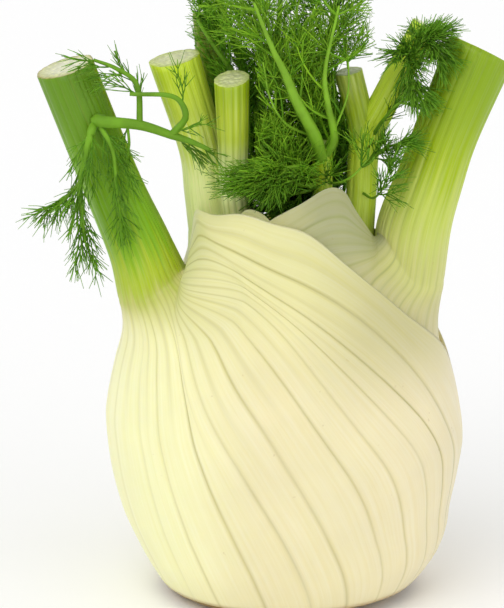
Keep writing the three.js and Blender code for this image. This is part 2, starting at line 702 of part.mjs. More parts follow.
// The two young leaves in the heart still have their blades, which make the dense bush. One keeps
// to the front and the other to the back.
const frontRoom = (p) => p.y < 1.5 && p.y > -17 && p.x > -27 && p.x < 24 && p.z < 171;
const backRoom = (p) => p.y > 1.8 && p.y < 15 && p.x > -27 && p.x < 24 && p.z < 171;
const youngBlade = [
  spray({
    owner: "young", seed: 144, from: 0.3, stems: 12, reach: 13, whorls: 3, needleLength: 6.5,
    rachis: youngLeftStem,
    room: frontRoom,
  }),
  spray({
    owner: "young", seed: 233, from: 0.3, stems: 9, reach: 12, whorls: 3, needleLength: 6.5,
    rachis: youngRightStem,
    room: frontRoom,
  }),
  spray({
    owner: "young", seed: 377, from: 0.3, stems: 6, reach: 6, whorls: 2, needleLength: 4.5,
    rachis: [[9.6, -5, 122, 1], [3, -13.5, 127, 0.9], [-6, -15, 125, 0.7], [-15, -15.5, 124, 0.6]],
    room: frontRoom,
  }),
];
piece("leaf_young", fused([stem(youngStations, 9, 9), ...youngBlade]), frondGreen);

const innerBlade = [
  spray({
    owner: "inner", seed: 610, from: 0.5, stems: 11, reach: 13, whorls: 3, needleLength: 6.5,
    rachis: innerStations,
    room: backRoom,
  }),
  spray({
    owner: "inner", seed: 987, from: 0.25, stems: 10, reach: 12, whorls: 3, needleLength: 6.5,
    rachis: [[-1, 6.5, 112, 1.5], [1.6, 8, 135, 1.3], [9.9, 9, 152, 1], [14.5, 9, 163.5, 0.7]],
    room: backRoom,
  }),
];
piece("leaf_inner", fused(innerBlade), frondDeepGreen);

export default object;
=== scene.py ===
import math

import bpy
import numpy as np
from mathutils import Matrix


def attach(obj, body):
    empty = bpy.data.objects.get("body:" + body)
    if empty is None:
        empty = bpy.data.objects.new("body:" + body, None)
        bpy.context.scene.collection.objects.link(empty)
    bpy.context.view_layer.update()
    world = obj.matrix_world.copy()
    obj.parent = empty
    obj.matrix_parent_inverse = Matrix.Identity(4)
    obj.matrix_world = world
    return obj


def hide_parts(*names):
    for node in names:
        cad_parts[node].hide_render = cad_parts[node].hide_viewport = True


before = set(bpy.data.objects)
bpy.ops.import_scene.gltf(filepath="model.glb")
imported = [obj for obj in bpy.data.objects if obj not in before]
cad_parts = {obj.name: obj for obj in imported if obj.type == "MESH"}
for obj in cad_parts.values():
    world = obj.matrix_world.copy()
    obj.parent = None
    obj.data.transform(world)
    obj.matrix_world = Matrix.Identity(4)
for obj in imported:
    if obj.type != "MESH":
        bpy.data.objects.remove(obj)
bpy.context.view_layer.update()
print("frame loaded")

# Every length below is in millimetres, in the frame's own axes: X right, -Y front, Z up from the root cut.
mm = 0.001
degree = math.pi / 180

# The camera stands where the photograph's did, a little above the bulb.
view = {"target": (-9.0, 0.0, 84.1), "distance": 700.0, "elevation": 15.0, "lens": 147.1, "sensor": 36.0}
el = view["elevation"] * degree
cameraData = bpy.data.cameras.new("camera")
cameraData.lens = view["lens"]
cameraData.sensor_width = view["sensor"]
camera = bpy.data.objects.new("camera", cameraData)
camera.location = [
    mm * view["target"][0],
    mm * (view["target"][1] - view["distance"] * math.cos(el)),
    mm * (view["target"][2] + view["distance"] * math.sin(el)),
]
camera.rotation_euler = (math.pi / 2 - el, 0, 0)
bpy.context.scene.collection.objects.link(camera)
bpy.context.scene.camera = camera


# Colour: an sRGB hex value to linear, by the sRGB curve.
def hexColour(text):
    channels = [int(text[i : i + 2], 16) / 255 for i in (1, 3, 5)]
    return np.array([c / 12.92 if c <= 0.04045 else ((c + 0.055) / 1.055) ** 2.4 for c in channels])


# A smooth step from 0 at low to 1 at high: 3t^2 - 2t^3.
def smooth(low, high, x):
    t = np.clip((np.asarray(x, float) - low) / (high - low), 0, 1)
    return t * t * (3 - 2 * t)


# A smooth curve through (x, value) rows: a cubic between each two, with slopes from the rows beside.
def through(rows, x):
    rows = np.asarray(rows, float)
    xs, ys = rows[:, 0], rows[:, 1]
    before = np.maximum(np.arange(len(xs)) - 1, 0)
    after = np.minimum(np.arange(len(xs)) + 1, len(xs) - 1)
    slopes = (ys[after] - ys[before]) / (xs[after] - xs[before])
    x = np.asarray(x, float)
    i = np.clip(np.searchsorted(xs, x, side="left") - 1, 0, len(xs) - 2)
    span = xs[i + 1] - xs[i]
    t = np.clip((x - xs[i]) / span, 0, 1)
    bend = slopes[i] * (1 - t) - slopes[i + 1] * t
    return ys[i] + (ys[i + 1] - ys[i]) * t * t * (3 - 2 * t) + span * t * (1 - t) * bend


# The same curve as weights on the rows' values, so that whole tables can be blended at once.
def throughWeights(knots, x):
    unit = np.eye(len(knots))
    return np.stack([through(np.column_stack([knots, unit[k]]), x) for k in range(len(knots))], axis=1)


# A centripetal Catmull-Rom curve through points, read at shares from 0 to 1 of its spans.
def curvePoints(stations, shares):
    p = np.asarray(stations, float)[:, :3]
    p = np.vstack([2 * p[0] - p[1], p, 2 * p[-1] - p[-2]])
    at = np.clip(np.asarray(shares, float), 0, 1) * (len(p) - 3)
    i = np.minimum(at.astype(int), len(p) - 4)
    w = (at - i)[:, None]
    p0, p1, p2, p3 = p[i], p[i + 1], p[i + 2], p[i + 3]
    d0, d1, d2 = [np.sqrt(np.linalg.norm(b - a, axis=1))[:, None] for a, b in ((p0, p1), (p1, p2), (p2, p3))]
    m1 = ((p1 - p0) / d0 - (p2 - p0) / (d0 + d1) + (p2 - p1) / d1) * d1
    m2 = ((p2 - p1) / d1 - (p3 - p1) / (d1 + d2) + (p3 - p2) / d2) * d1
    c2 = -3 * p1 + 3 * p2 - 2 * m1 - m2
    c3 = 2 * p1 - 2 * p2 + m1 + m2
    return p1 + m1 * w + c2 * w**2 + c3 * w**3


# The way a curve runs: the difference of two close readings, made one long. At a stalk's ends it is
# read this share of the length inside them.
lineEnd = 0.002


def curveWays(stations, shares):
    shares = np.asarray(shares, float)
    ways = curvePoints(stations, shares + lineEnd) - curvePoints(stations, shares - lineEnd)
    return ways / np.linalg.norm(ways, axis=1)[:, None]


def unit(v):
    return v / np.maximum(np.linalg.norm(v, axis=-1, keepdims=True), 1e-9)


# The bulb's outline, as the root cut's frame has it
bulb = {
    "leftWidth": [
        (0, 28), (1, 32.8), (4, 35.6), (8, 38), (14, 41), (20, 43.8), (26, 46.2), (38, 49.1),
        (50, 50.4), (56, 50.3), (68, 47.9), (79, 44.6), (85, 43), (92, 39.6), (98, 35.5), (106, 30),
        (116, 26.5), (132, 24),
    ],
    "rightWidth": [
        (0, 28), (1, 34), (4, 38.4), (8, 41.7), (14, 45.2), (20, 46.9), (26, 47.6), (38, 49.9),
        (47, 51), (56, 49.9), (68, 47.4), (79, 44.4), (85, 42.9), (92, 40.6), (98, 37), (106, 31),
        (116, 26.5), (132, 24),
    ],
    "halfDepth": [
        (0, 24), (1, 28.5), (4, 31.5), (8, 33.6), (14, 36.3), (26, 39.5), (38, 41.5), (47, 42),
        (56, 41.6), (68, 39.6), (79, 36.6), (92, 32.4), (106, 27.6), (116, 25.4), (132, 23.5),
    ],
    "plateRim": 2.2,
    "plateRise": 0.36,
    "layerGap": 1.2,  # closer than the solids' own gap, because this surface is finer
    "margin": 0.9,
    "swell": 5.3,  # how much thicker a sheath is on its stalk's side
    "footReach": 32,  # how far under the stalk's foot a sheath begins to gather
    "footFlare": 34,
    "backDrop": 12,  # how much lower the margins run behind
}

# The clasping leaves from the outside in: the side of the stalk, and how its foot swells the sheath
layers = [
    {"side": -1, "foot": 9.5}, {"side": 1, "foot": 9}, {"side": -1, "foot": 1.5}, {"side": 1, "foot": 0},
]


# The bulb's half width at a height, on the side that x is on.
def halfWidth(x, z):
    return np.where(x < 0, through(bulb["leftWidth"], z), through(bulb["rightWidth"], z))


# A point under the bulb's skin: an ellipse at each height, narrower by the depth.
def skin(side, turn, z, depth):
    x = side * np.cos(turn * degree)
    deep = through(bulb["halfDepth"], z) - depth
    return np.stack([x * (halfWidth(x, z) - depth), -np.sin(turn * degree) * deep, z], axis=-1)


# A sheath's thickness: most on its stalk's side, less towards the neck, and swollen at the stalk's foot.
def thickness(layer, turn, z):
    facing = 0.5 + 0.5 * np.cos(turn * degree)
    thinner = 1 - 0.8 * smooth(60, 106, z)
    swelling = layer["foot"] * np.exp(-((turn / 32) ** 2) - ((z - 90) / 15) ** 2)
    return bulb["margin"] + bulb["swell"] * facing * thinner + swelling


# How deep a leaf lies: the thickness of the leaves outside it, and a gap for each.
def layerDepth(layer, turnFromLeft, z):
    depth = np.zeros_like(z)
    for outer in layers[:layer]:
        turn = turnFromLeft if outer["side"] < 0 else 180 - np.abs(turnFromLeft)
        depth = depth + thickness(outer, turn, z) + bulb["layerGap"] * (1 - 0.3 * smooth(88, 100, z))
    return depth


# Where a leaf's ribs run: for each rank and share, (turn, height) blended from the table both ways.
def ribPlaces(ribs, rank, share):
    table = np.array([row[1:] for row in ribs], float)
    overRank = throughWeights([row[0] for row in ribs], np.abs(rank))
    overShare = throughWeights(np.arange(6) / 5, share)
    turn = overShare @ (overRank @ table[:, :, 0]).T
    z = overShare @ (overRank @ table[:, :, 1]).T
    behind = np.where(rank < 0, bulb["backDrop"] * rank**2, 0)[None, :] * smooth(0, 0.15, share)[:, None]
    z = z - behind * (1 - smooth(0.3, 0.75, share))[:, None]
    return np.where(rank < 0, -1, 1)[None, :] * turn, z


# A stalk's radius at shares of its length, from its [x, y, z, radius] stations.
def radiusAlong(stations, share):
    radii = np.array(stations, float)[:, 3]
    return through(np.column_stack([np.linspace(0, 1, len(radii)), radii]), share)


# A stalk's wall: points at angles and radii round its centre line. From the share slideFrom on they
# slide along the line, to end on the plane of the cut.
def stalkWall(stalk, side, angle, share, radius, slideFrom):
    along = curveWays(stalk["stations"], np.clip(share, lineEnd, 1 - lineEnd))
    front = unit(np.array([0, -1.0, 0]) + along * along[:, 1:2])
    outward = unit(np.cross(along, front)) * side
    flat = outward[:, None] * (radius * np.cos(angle))[..., None]
    wall = flat + front[:, None] * (radius * np.sin(angle))[..., None]
    normal = unit(np.array(stalk["cut"], float))
    slide = -(wall @ normal) / (along @ normal)[:, None]
    wall = wall + along[:, None] * (slide * smooth(slideFrom, 1, share)[:, None])[..., None]
    return curvePoints(stalk["stations"], share)[:, None] + wall


# Quads between each ring of points and the next, ring by ring.
def ringQuads(ringCount, sides):
    around = np.arange(sides)
    after = (around + 1) % sides
    row = np.arange(ringCount - 1)[:, None] * sides
    return np.stack([row + around, row + after, row + sides + after, row + sides + around], axis=-1)


# Triangles from a ring, whose first point is start, to one point that closes it.
def ringFan(start, sides, tip):
    around = np.arange(sides)
    return np.stack([start + around, start + (around + 1) % sides, np.full(sides, tip)], axis=-1)


# Puts vertices, quads and triangles in a mesh, with named values on its corners' points.
def makePiece(name, points, quads, triangles, materials, values=None, faceMaterial=None):
    mesh = bpy.data.meshes.new(name)
    faces = [*np.asarray(quads).reshape(-1, 4).tolist(), *np.asarray(triangles).reshape(-1, 3).tolist()]
    mesh.from_pydata((np.asarray(points, float) * mm).tolist(), [], faces)
    for material in materials:
        mesh.materials.append(material)
    if faceMaterial is not None:
        mesh.polygons.foreach_set("material_index", np.asarray(faceMaterial, np.int32))
    mesh.polygons.foreach_set("use_smooth", np.full(len(faces), True))
    for key, value in (values or {}).items():
        value = np.asarray(value, np.float32)
        if value.ndim == 2 and value.shape[1] == 3:
            kind = "FLOAT_VECTOR" if key == "leafPlace" else "FLOAT_COLOR"
            layer = mesh.attributes.new(key, kind, "POINT")
            if kind == "FLOAT_COLOR":
                layer.data.foreach_set("color", np.column_stack([value, np.ones(len(value))]).ravel())
            else:
                layer.data.foreach_set("vector", value.ravel())
        else:
            mesh.attributes.new(key, "FLOAT", "POINT").data.foreach_set("value", value.ravel())
    mesh.update()
    piece = bpy.data.objects.new(name, mesh)
    bpy.context.scene.collection.objects.link(piece)
    return piece


# Adds a node with its own settings, socket values and links.
def addNode(tree, kind, settings=None, sockets=None, links=None):
    node = tree.nodes.new(kind)
    for key, value in (settings or {}).items():
        setattr(node, key, value)
    for key, value in (sockets or {}).items():
        node.inputs[key].default_value = value
    for key, output in (links or {}).items():
        tree.links.new(output, node.inputs[key])
    return node


# A new material with nothing in it but a Principled surface, which has these plain settings.
def newMaterial(name, settings):
    made = bpy.data.materials.new(name)
    made.use_nodes = True
    tree = made.node_tree
    tree.nodes.clear()
    surface = addNode(tree, "ShaderNodeBsdfPrincipled", sockets=settings)
    addNode(tree, "ShaderNodeOutputMaterial", links={"Surface": surface.outputs[0]})
    return made, tree, surface


# Living leaf under a waxy cuticle, grown, not worked: colour that drifts over centimetres, fine pale
# streaks along the veins, light that sinks in a little way, and a soft sheen where the wax is even.
def leafSkin(name, look):
    made, tree, surface = newMaterial(name, {
        "IOR": 1.42,  # wet plant tissue
        "Subsurface Weight": look["soft"], "Subsurface Radius": look["sink"], "Subsurface Scale": mm,
    })
    colour = addNode(tree, "ShaderNodeAttribute", {"attribute_name": "leafColour"})
    place = addNode(tree, "ShaderNodeAttribute", {"attribute_name": "leafPlace"})
    spot = {"Vector": addNode(tree, "ShaderNodeTexCoord").outputs["Object"]}
    mottle = addNode(  # patches 20 mm across
        tree, "ShaderNodeTexNoise", sockets={"Scale": 50, "Detail": 3}, links=spot,
    )
    streakPlace = addNode(  # veins 1 mm apart and 30 mm long
        tree, "ShaderNodeMapping", sockets={"Scale": (1 / look["streakWidth"], 1 / 30, 1)},
        links={"Vector": place.outputs["Vector"]},
    )
    streak = addNode(
        tree, "ShaderNodeTexNoise", sockets={"Scale": 1, "Detail": 4, "Roughness": 0.6},
        links={"Vector": streakPlace.outputs[0]},
    )
    mottleValue = addNode(
        tree, "ShaderNodeMapRange", sockets={1: 0.3, 2: 0.7, 3: 1 - look["mottle"], 4: 1 + look["mottle"]},
        links={0: mottle.outputs[0]},
    )
    streakValue = addNode(
        tree, "ShaderNodeMapRange", sockets={1: 0.3, 2: 0.7, 3: 1 - look["streak"], 4: 1 + look["streak"]},
        links={0: streak.outputs[0]},
    )
    value = addNode(
        tree, "ShaderNodeMath", {"operation": "MULTIPLY"},
        links={0: mottleValue.outputs[0], 1: streakValue.outputs[0]},
    )
    richness = addNode(  # where the streaks are darker the green is fuller
        tree, "ShaderNodeMapRange", sockets={1: 0.3, 2: 0.7, 3: 1.12, 4: 0.9}, links={0: streak.outputs[0]},
    )
    varied = addNode(
        tree, "ShaderNodeHueSaturation",
        links={
            "Color": colour.outputs["Color"], "Value": value.outputs[0], "Saturation": richness.outputs[0],
        },
    )
    speck = addNode(  # rubbed and browned specks, about 1 mm, a few to a leaf
        tree, "ShaderNodeTexNoise", sockets={"Scale": 420, "Detail": 2}, links=spot,
    )
    speckAmount = addNode(
        tree, "ShaderNodeMapRange", sockets={1: 0.74, 2: 0.82, 3: 0, 4: look["speck"]},
        links={0: speck.outputs[0]},
    )
    specked = addNode(
        tree, "ShaderNodeMix", {"data_type": "RGBA"}, sockets={7: (*hexColour("#a8813f"), 1)},
        links={0: speckAmount.outputs[0], 6: varied.outputs[0]},
    )
    polish = addNode(
        tree, "ShaderNodeMapRange",
        sockets={1: 0.3, 2: 0.7, 3: look["roughness"] - 0.07, 4: look["roughness"] + 0.07},
        links={0: mottle.outputs[0]},
    )
    relief = addNode(
        tree, "ShaderNodeBump", sockets={"Strength": look["relief"], "Distance": 0.3 * mm},
        links={"Height": streak.outputs[0]},
    )
    tree.links.new(specked.outputs[2], surface.inputs["Base Color"])
    tree.links.new(polish.outputs[0], surface.inputs["Roughness"])
    tree.links.new(relief.outputs[0], surface.inputs["Normal"])
    return made


fleshySheath = leafSkin(
    "fleshySheathUnderWax",
    {"streakWidth": 0.9, "mottle": 0.03, "streak": 0.025, "speck": 0.35, "roughness": 0.42,
     "relief": 0.25, "soft": 0.35, "sink": (3.5, 3.0, 1.6)},
)
greenStalk = leafSkin(
    "ribbedGreenStalk",
    {"streakWidth": 0.8, "mottle": 0.05, "streak": 0.11, "speck": 0.25, "roughness": 0.4,
     "relief": 0.5, "soft": 0.2, "sink": (1.5, 2.0, 0.6)},
)


# A knife-cut stalk end: wet pith between strings of fibre, pale in the middle with a green rim.
def cutStalkFlesh():
    made, tree, surface = newMaterial("cutStalkFlesh", {
        "Roughness": 0.35, "IOR": 1.38,
        "Subsurface Weight": 0.3, "Subsurface Radius": (2.0, 2.0, 1.0), "Subsurface Scale": mm,
    })
    colour = addNode(tree, "ShaderNodeAttribute", {"attribute_name": "leafColour"})
    spot = {"Vector": addNode(tree, "ShaderNodeTexCoord").outputs["Object"]}
    strings = addNode(  # fibre strings about 1.3 mm apart
        tree, "ShaderNodeTexVoronoi", sockets={"Scale": 760}, links=spot
    )
    grain = addNode(
        tree, "ShaderNodeTexNoise", sockets={"Scale": 900, "Detail": 3}, links=spot,
    )
    stringValue = addNode(
        tree, "ShaderNodeMapRange", sockets={1: 0.1, 2: 0.6, 3: 1.12, 4: 0.86},
        links={0: strings.outputs[0]},
    )
    grainValue = addNode(
        tree, "ShaderNodeMapRange", sockets={1: 0.35, 2: 0.65, 3: 0.92, 4: 1.08},
        links={0: grain.outputs[0]},
    )
    value = addNode(
        tree, "ShaderNodeMath", {"operation": "MULTIPLY"},
        links={0: stringValue.outputs[0], 1: grainValue.outputs[0]},
    )
    varied = addNode(
        tree, "ShaderNodeHueSaturation", links={"Color": colour.outputs["Color"], "Value": value.outputs[0]}
    )
    relief = addNode(
        tree, "ShaderNodeBump", sockets={"Strength": 0.6, "Distance": 0.6 * mm},
        links={"Height": strings.outputs[0]},
    )
    tree.links.new(varied.outputs[0], surface.inputs["Base Color"])
    tree.links.new(relief.outputs[0], surface.inputs["Normal"])
    return made


cutFlesh = cutStalkFlesh()


# Feathery leaf threads: thin, matt and full of green, lighter where light comes through.
def frondThread():
    made, tree, surface = newMaterial("featheryLeafThread", {
        "Roughness": 0.6, "IOR": 1.35,  # a dry bloom keeps the thread from shining
        "Subsurface Weight": 0.15, "Subsurface Radius": (0.4, 0.8, 0.1), "Subsurface Scale": mm,
    })
    colour = addNode(tree, "ShaderNodeAttribute", {"attribute_name": "leafColour"})
    spot = {"Vector": addNode(tree, "ShaderNodeTexCoord").outputs["Object"]}
    drift = addNode(
        tree, "ShaderNodeTexNoise", sockets={"Scale": 160, "Detail": 2}, links=spot,
    )
    driftValue = addNode(
        tree, "ShaderNodeMapRange", sockets={1: 0.3, 2: 0.7, 3: 0.8, 4: 1.2}, links={0: drift.outputs[0]}
    )
    varied = addNode(
        tree, "ShaderNodeHueSaturation",
        links={"Color": colour.outputs["Color"], "Value": driftValue.outputs[0]},
    )
    tree.links.new(varied.outputs[0], surface.inputs["Base Color"])
    return made


thread = frondThread()


def blend(a, b, share):
    share = np.asarray(share)[..., None]
    return a * (1 - share) + b * share


# The colour of a leaf at each point: cream on the bulb, drifting from yellower on the left to warmer
# on the right, greener up the neck, with painted shade on the right of the neck, and green along the
# stalk. climb is 0 at the root end, 1 at the stalk's foot and 2 at its cut.
def leafTone(leaf, points, climb, rank, groove):
    x, z = points[..., 0], points[..., 2]
    c = {key: hexColour(value) for key, value in leaf["tones"].items()}
    tone = blend(c["left"], c["middle"], smooth(-40, 0, x))
    tone = blend(tone, c["right"], smooth(8, 46, x))
    tone = blend(tone, c["neck"], smooth(62, 104, z) * 0.85)
    # painted shade: the right of the neck, at mid height, darkened towards the shade tone
    tone = blend(tone, c["shade"], smooth(-2, 30, x) * smooth(58, 88, z) * 0.75)
    beside = smooth(0.5, 0.8, np.abs(rank)) * (1 - smooth(1.0, 1.03, climb))
    wing = smooth(0.55, 0.8, np.abs(rank)) * smooth(0.5, 0.72, climb) * (1 - smooth(0.98, 1.05, climb))
    if "wing" in c:
        tone = blend(tone, c["wing"], wing)
    tongues = 0.05 * np.sin(rank * 47) * np.sin(rank * 19 + 1) + 0.03 * np.sin(rank * 131)
    green = smooth(*leaf["green"], climb + tongues) * (1 - beside)
    tone = blend(tone, c["foot"], smooth(0.74, 1.0, climb) * (1 - beside))
    tone = blend(tone, c["low"], green)
    tone = blend(tone, c["mid"], smooth(*leaf["full"], climb + 2 * tongues))
    tone = blend(tone, c["top"], smooth(*leaf["crest"], climb))
    tone = blend(tone, c["groove"], groove)
    return blend(tone, c["base"], 0.6 * (1 - smooth(0.0, 0.012, climb)))


# A stalk's cut end: rings of its rim's points, drawn in to the shares in inwards and a little uneven,
# and a middle point. It is pith in the middle, then a ring, and the rim's own colour at the edge.
def cutEnd(rim, cut, end, tones):
    inwards = np.array(end["inwards"])[:, None]
    normal = unit(np.array(cut, float))
    middle = rim.mean(axis=0)
    spin = np.linspace(0, 2 * np.pi, len(rim), endpoint=False)
    uneven = end["wave"] * np.sin(3 * spin) * inwards + end["step"] * np.sin(31 * inwards) + end["proud"]
    rings = middle + (rim - middle) * inwards[..., None] + normal * uneven[..., None]
    tone = blend(tones["pith"], tones["ring"], smooth(0.5, end["ringAt"], inwards[:, 0]))
    tone = blend(tone, tones.get("rim", tones["ring"]), smooth(0.9, 0.985, inwards[:, 0]))
    points = np.concatenate([rings.reshape(-1, 3), middle[None] + normal * end["tip"]])
    return points, np.concatenate([np.repeat(tone, len(rim), axis=0), tones["pith"][None]])


# Points of a leaf that bend in under the neck's skin, held out over the leaves inside: x and y are
# scaled until the depth is at most what lies above plus the leaf's own thickness. The outer points stay
# a margin, or 0.65 of the thickness away from the stalk, further out than that.
def heldOut(points, layer, isInner, amount):
    side = layers[layer]["side"]
    x, y, z = points[..., 0], points[..., 1], points[..., 2]
    wide, deep = halfWidth(x, z), through(bulb["halfDepth"], z)
    reach = np.hypot(x / wide, y / deep)
    turn = np.degrees(np.arctan2(np.abs(y) / deep, side * x / wide))
    above = layerDepth(layer, turn if side < 0 else 180 - turn, z)
    own = thickness(layers[layer], turn, z)
    body = np.maximum(bulb["margin"], 0.65 * own * smooth(20, 60, turn))
    allowed = above + own - np.where(isInner, 0, body)
    least = 1 - allowed * ((x / wide) ** 2 / wide + (y / deep) ** 2 / deep) / np.maximum(reach, 0.1) ** 2
    push = 1 + (np.maximum(1, least / np.maximum(reach, 0.1)) - 1) * amount
    return points * np.stack([push, push, np.ones_like(push)], axis=-1)


ribSteps = 12  # the grid's columns from one furrow to the next
leafCut = {
    "inwards": (0.985, 0.93, 0.84, 0.72, 0.58, 0.44, 0.3, 0.16), "wave": 0.18, "step": 0.12, "proud": 0.15,
    "ringAt": 0.9, "tip": 0.2,
}
stalkSlide = 0.6


# The columns across a leaf's grid. Outside, phase counts the ribs from the middle, rank runs from
# margin to margin, f is how far a column is from its furrow, in ribs, and strong how deep that furrow
# is. Inside, the ranks run back, with one column for every fourth outside.
innerEvery = 4


def leafColumns(leaf):
    count = leaf["ribCount"]
    draw = np.random.default_rng(leaf["seed"])
    knots = np.arange(-count, count + 1)
    wander = draw.uniform(-0.2, 0.2, len(knots))
    wander[[0, -1]] = 0
    strength = draw.uniform(0.45, 1.0, len(knots))
    phase = np.arange(-count * ribSteps, count * ribSteps + 1) / ribSteps
    phase = phase - 0.6 * np.sin(2 * np.pi * phase) / (2 * np.pi)
    rank = (phase + through(np.column_stack([knots, wander]), phase)) / count
    furrow = np.clip(np.round(phase).astype(int) + count, 0, 2 * count)
    inner = np.linspace(0.985, -0.985, (len(rank) - 1) // innerEvery + 1)
    return {
        "phase": phase, "rank": rank, "inner": inner, "all": np.concatenate([rank, inner]),
        "f": np.abs(phase - np.round(phase)), "edge": 1 - smooth(0.95, 1, np.abs(rank)),
        "strong": strength[furrow] * (1 - 0.55 * (1 - smooth(0.16, 0.36, np.abs(rank)))),
    }


# How far the outside stands proud. It falls at each furrow by depth * exp(-(f / width)^2), and the rib
# between stands out by crown * (1 - cos 2 pi f) / 2, with a fine line along it nearer the neck.
def ribRelief(leaf, columns, rise):
    shape, f = leaf["relief"], columns["f"]
    closing = 1 - 0.55 * smooth(0.75, 1, rise)[:, None]
    fine = np.exp(-(((0.5 - f) / 0.05) ** 2))[None, :] * smooth(0.3, 0.9, rise)[:, None]
    valley = columns["strong"] * np.exp(-((f / shape["width"]) ** 2))
    proud = shape["crown"] * (0.5 - 0.5 * np.cos(2 * np.pi * f)) - shape["depth"] * valley
    return (proud[None, :] * closing - 0.12 * fine) * columns["edge"] * smooth(0, 0.08, rise)[:, None]


# The sheath's points: on the bulb's skin below, and gathered round the stalk's foot above. Its margins
# are thin and rippled.
def leafSheath(leaf, columns, rise, angle, lift):
    layer, stalk, ranks = leaf["layer"], leaf["stalk"], columns["all"]
    side, fromRib, stations = layers[layer]["side"], np.abs(ranks), stalk["stations"]
    isInner = np.arange(len(ranks)) >= len(columns["rank"])
    turn, ribZ = ribPlaces(leaf["ribs"], ranks, 1 - rise)
    ripple = leaf["ripple"] * np.sin(turn * 0.11 + leaf["seed"]) * np.sin(turn * 0.043 + 2)
    ribZ = ribZ + ripple * smooth(0.86, 1, fromRib) * smooth(0.15, 0.5, rise)[:, None]
    thick = thickness(layers[layer], turn, ribZ)
    thinner = np.maximum(
        smooth(0.88, 1, fromRib), smooth(0.45, 0.75, fromRib) * smooth(0.6, 0.85, rise)[:, None]
    )
    depth = layerDepth(layer, turn if side < 0 else 180 - np.abs(turn), ribZ)
    depth = depth + np.where(isInner, thick, (thick - bulb["margin"]) * thinner)
    depth[:, : len(columns["rank"])] -= ribRelief(leaf, columns, rise)
    onPlate = bulb["plateRim"] + bulb["layerGap"] + bulb["plateRise"] * depth
    z = ribZ + onPlate * (1 - smooth(0, 0.35, rise))[:, None]
    onSkin = skin(side, turn, z, depth)

    upwards = curveWays(stations, np.array([lineEnd]))[0]
    centre = curvePoints(stations, np.zeros(1))[0]
    foot = stalkWall(stalk, side, angle * degree, np.zeros(1), stations[0][3], stalkSlide)[0]
    spokes = (foot - centre) / stations[0][3]
    flare = np.where(isInner[None, :], 0, bulb["footFlare"] * ((1 - rise) ** 1.3)[:, None])
    down = upwards * -bulb["footReach"] * (1 - rise)[:, None, None]
    onFoot = centre + spokes[None] * (stations[0][3] + flare)[..., None] + down
    onFoot = onFoot + upwards * lift[None, :, None]

    # How far a point has closed in on the foot: the margins start later than the middle.
    t = np.clip((rise[:, None] - 0.7) / 0.3, 0, 1)
    late = np.clip((rise[:, None] - 0.86) / 0.14, 0, 1)
    t = t + (late - t) * smooth(0.7, 1, fromRib)[None, :]
    close = (t * t * (3 - 2 * t))[..., None]
    sheath = onSkin * (1 - close) + onFoot * close
    return heldOut(sheath, layer, isInner[None, :], 1 - smooth(0.9, 1, rise)[:, None])


# The stalk's points above the sheath, faintly ridged, with the axil's lift fading out.
def leafStem(leaf, columns, share, angle, lift):
    stalk, side = leaf["stalk"], layers[leaf["layer"]]["side"]
    ridge = np.concatenate([
        0.22 * np.exp(-((columns["f"] / 0.16) ** 2)) * columns["edge"] - 0.1,
        0.12 * np.cos(columns["inner"] * 60) ** 2,
    ])
    radius = radiusAlong(stalk["stations"], share)[:, None] - ridge
    stem = stalkWall(stalk, side, angle * degree, share, radius, stalkSlide)
    fading = ((1 - share) ** 4)[:, None, None]
    ways = curveWays(stalk["stations"], np.clip(share, lineEnd, 1 - lineEnd))
    return stem + ways[:, None] * lift[None, :, None] * fading


# How much of the groove's tone a point has: a line in each furrow, a little broken, and a finer one on
# each rib nearer the neck. The inside has none.
def furrowLines(leaf, columns, climb):
    f, edge = columns["f"], columns["edge"]
    line = columns["strong"] * np.exp(-((f / leaf["lineWidth"]) ** 2)) * edge
    fineLine = 0.45 * np.exp(-(((0.5 - f) / 0.05) ** 2)) * edge
    broken = 0.8 + 0.2 * np.sin(climb[:, None] * 9 + np.round(columns["phase"])[None, :] * 2.4)
    near = smooth(0.3, 0.9, climb) * (1 - smooth(1, 1.2, climb))
    lines = line[None, :] * broken * leaf["lineTone"] * (1 - 0.6 * smooth(0.95, 1.1, climb))[:, None]
    lines = lines + fineLine[None, :] * leaf["lineTone"] * near[:, None]
    return np.pad(lines, ((0, 0), (0, len(columns["inner"]))))


# A leaf's faces: its rings, the cut end with a fan, and the open foot, whose outer row is zipped to the
# inner one. Returns quads, triangles and each face's material.
def leafFaces(columns, ringCount, side):
    outerCount, innerCount = len(columns["rank"]), len(columns["inner"]) - 1
    sides = len(columns["all"])
    tall = ringCount + len(leafCut["inwards"])
    quads = ringQuads(tall, sides)
    fan = ringFan((tall - 1) * sides, sides, tall * sides)
    out, back = np.arange(outerCount - 1), np.arange(innerCount)
    half = innerEvery // 2
    nearest = sides - 1 - np.minimum((out + half) // innerEvery, innerCount)
    zipOut = np.stack([out + 1, out, nearest], axis=-1)
    facing = np.minimum(innerEvery * back + half, outerCount - 1)
    zipBack = np.stack([sides - 1 - back, sides - 2 - back, facing], axis=-1)
    triangles = np.concatenate([fan, zipOut, zipBack])
    if side > 0:
        quads, triangles = quads[..., ::-1], triangles[:, ::-1]
    quadMaterial = np.repeat((np.arange(tall - 1) >= ringCount - 1).astype(int), sides)
    triangleMaterial = (np.arange(len(triangles)) < len(fan)).astype(int)
    return quads, triangles, np.concatenate([quadMaterial, triangleMaterial])


